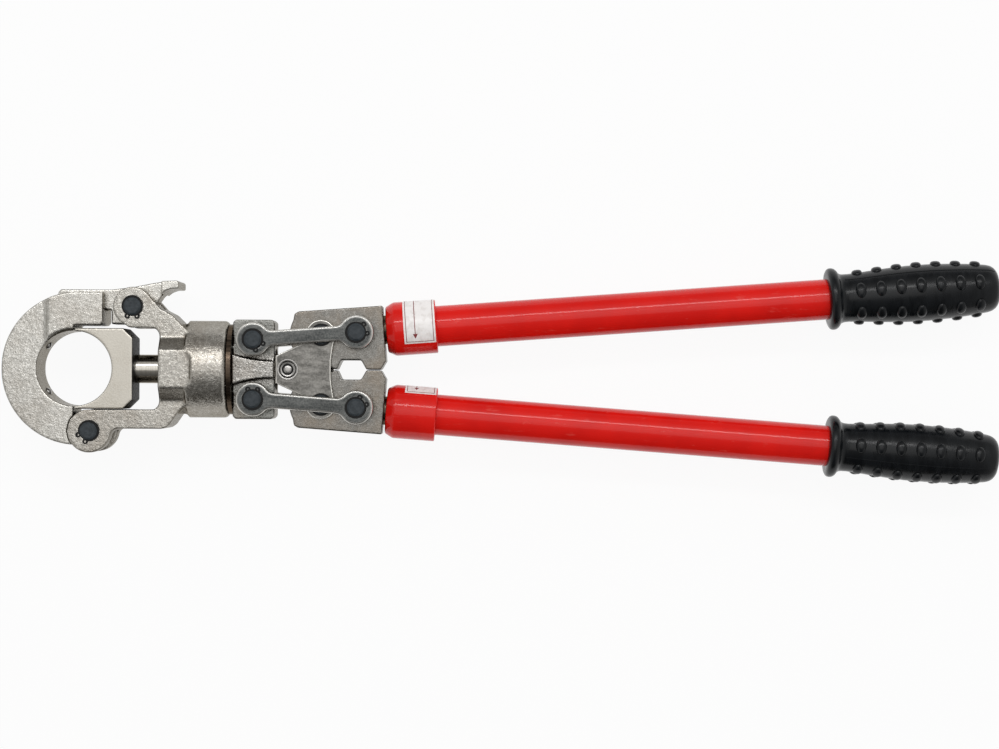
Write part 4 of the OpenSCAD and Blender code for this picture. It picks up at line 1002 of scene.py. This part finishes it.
class CRIMPER_OT_studio(Operator):
    """Floor, lamps, surroundings and camera"""
    bl_idname = "crimper.studio"
    bl_label = "Studio"

    def execute(self, context):
        scene = context.scene
        settings = scene.crimper_studio
        scene.view_settings.view_transform = "Standard"
        self.lay_floor(scene, settings)
        self.light_world(scene)
        self.hang_light("strip", (0.30, 0.85, 1.45), (0.30, 0, 0), (2.2, 0.16), settings.strip_power)
        self.hang_light("top", (0.25, 0.20, 2.0), (0.25, 0.20, 0), (1.6, 1.2), settings.top_power)
        lens = bpy.data.cameras.new("camera")
        lens.lens = settings.lens
        lens.sensor_width = SENSOR_WIDTH
        lens.clip_start = CLIP_START
        camera = bpy.data.objects.new("camera", lens)
        scene.collection.objects.link(camera)
        eye = Vector(settings.eye)
        back = (eye - Vector(settings.target)).normalized()
        right = Vector((0, 1, 0)).cross(back).normalized()
        stance = Matrix((right, back.cross(right), back)).transposed()
        camera.matrix_world = Matrix.Translation(eye) @ stance.to_4x4() @ Matrix.Rotation(settings.roll, 4, "Z")
        scene.camera = camera
        return {"FINISHED"}

    def hang_light(self, name, place, aim, size, watts):
        lamp = bpy.data.lights.new(name, "AREA")
        lamp.shape = "RECTANGLE"
        lamp.size, lamp.size_y = size
        lamp.energy = watts
        hung = bpy.data.objects.new(name, lamp)
        bpy.context.scene.collection.objects.link(hung)
        back = (Vector(place) - Vector(aim)).normalized()
        right = Vector((1, 0, 0))
        up = back.cross(right).normalized()
        hung.matrix_world = Matrix.Translation(place) @ Matrix((right, up, back)).transposed().to_4x4()

    def lay_floor(self, scene, settings):
        """A floor that camera and metal see as nearly white, and that keeps the shadow."""
        mesh = bpy.data.meshes.new("floor")
        height = cad_box[0][2] - settings.floor
        reach = settings.floor_reach
        tone = settings.floor_tone
        mesh.from_pydata([(-reach, -reach, height), (reach, -reach, height), (reach, reach, height),
                          (-reach, reach, height)], [], [(0, 1, 2, 3)])
        material, tree, shader = start_material("floor", Roughness=0.9, Base_Color=(tone, tone, tone, 1))
        path = grow(tree, "ShaderNodeLightPath")
        seen = path.outputs["Is Camera Ray"]
        for ray in ("Is Glossy Ray", "Is Transmission Ray"):
            seen = grow(tree, "ShaderNodeMath", {0: seen, 1: path.outputs[ray]}, operation="MAXIMUM").outputs[0]
        share = grow(tree, "ShaderNodeMath", {0: seen, 1: settings.floor_glow}, operation="MULTIPLY")
        glow = grow(tree, "ShaderNodeEmission", {"Color": (1, 1, 1, 1), "Strength": 1.0})
        mixed = grow(tree, "ShaderNodeMixShader", {0: share.outputs[0], 1: shader.outputs[0], 2: glow.outputs[0]})
        tree.links.new(mixed.outputs[0], tree.nodes["Material Output"].inputs["Surface"])
        mesh.materials.append(material)
        floor = bpy.data.objects.new("floor", mesh)
        scene.collection.objects.link(floor)

    def light_world(self, scene):
        """A soft dome, brightest a little to the latch side of overhead, with pale walls to both ends.

        A dark flag stands low on the side away from the latch.
        """
        world = bpy.data.worlds.new("studio")
        scene.world = world
        world.use_nodes = True
        tree = world.node_tree
        place = grow(tree, "ShaderNodeTexCoord")
        lean = grow(tree, "ShaderNodeVectorMath", {0: place.outputs["Generated"], 1: DOME_LEAN},
                    operation="DOT_PRODUCT")
        height = grow(tree, "ShaderNodeMapRange", {"Value": lean.outputs["Value"], "From Min": -1, "From Max": 1})
        dome = grow(tree, "ShaderNodeValToRGB", {0: height.outputs["Result"]})
        ramp = dome.color_ramp
        for element, (spot, tone) in zip(ramp.elements, DOME_ENDS):
            element.position, element.color = spot, (*tone, 1)
        for spot, tone in DOME_TONES:
            ramp.elements.new(spot).color = (tone, tone * 0.985, tone * 0.96, 1)
        parts = grow(tree, "ShaderNodeSeparateXYZ", {0: place.outputs["Generated"]})
        apart = grow(tree, "ShaderNodeMath", {0: parts.outputs["X"]}, operation="ABSOLUTE")
        flank = remap(tree, apart.outputs[0], 0.28, 0.62, 0, 1)
        low = remap(tree, parts.outputs["Z"], 0.17, 0.25, 1, 0)
        near = remap(tree, parts.outputs["Y"], -0.25, 0.05, 1, 0)
        band = blend(tree, near, LOW_BAND, DARK_FLAG)
        colour = blend(tree, low, dome.outputs["Color"], band)
        colour = blend(tree, flank, colour, PALE_WALL)
        tree.links.new(colour, tree.nodes["Background"].inputs["Color"])


class CRIMPER_PT_panel(Panel):
    bl_label = "Crimper"
    bl_idname = "CRIMPER_PT_panel"
    bl_space_type = "VIEW_3D"
    bl_region_type = "UI"
    bl_category = "Crimper"

    def draw(self, context):
        for operator in OPERATORS:
            self.layout.operator(operator.bl_idname)
        for group in GROUPS:
            settings = getattr(context.scene, group)
            box = self.layout.box()
            for key in settings.__annotations__:
                box.prop(settings, key)


OPERATORS = (CRIMPER_OT_head, CRIMPER_OT_ram, CRIMPER_OT_toggle, CRIMPER_OT_pins, CRIMPER_OT_tubes,
             CRIMPER_OT_collars, CRIMPER_OT_grips, CRIMPER_OT_studio)
GROUPS = {"crimper_finishes": CrimperFinishes, "crimper_forgings": CrimperForgings,
          "crimper_handles": CrimperHandles, "crimper_studio": CrimperStudio}


def register():
    for group, kind in GROUPS.items():
        bpy.utils.register_class(kind)
        setattr(bpy.types.Scene, group, PointerProperty(type=kind))
    for kind in (*OPERATORS, CRIMPER_PT_panel):
        bpy.utils.register_class(kind)


def unregister():
    for kind in reversed((*OPERATORS, CRIMPER_PT_panel)):
        bpy.utils.unregister_class(kind)
    for group, kind in GROUPS.items():
        delattr(bpy.types.Scene, group)
        bpy.utils.unregister_class(kind)


def main():
    register()
    bpy.ops.crimper.head()
    bpy.ops.crimper.ram()
    bpy.ops.crimper.toggle()
    bpy.ops.crimper.pins()
    bpy.ops.crimper.tubes()
    bpy.ops.crimper.collars()
    bpy.ops.crimper.grips()
    bpy.ops.crimper.studio()


if __name__ == "__main__":
    main()
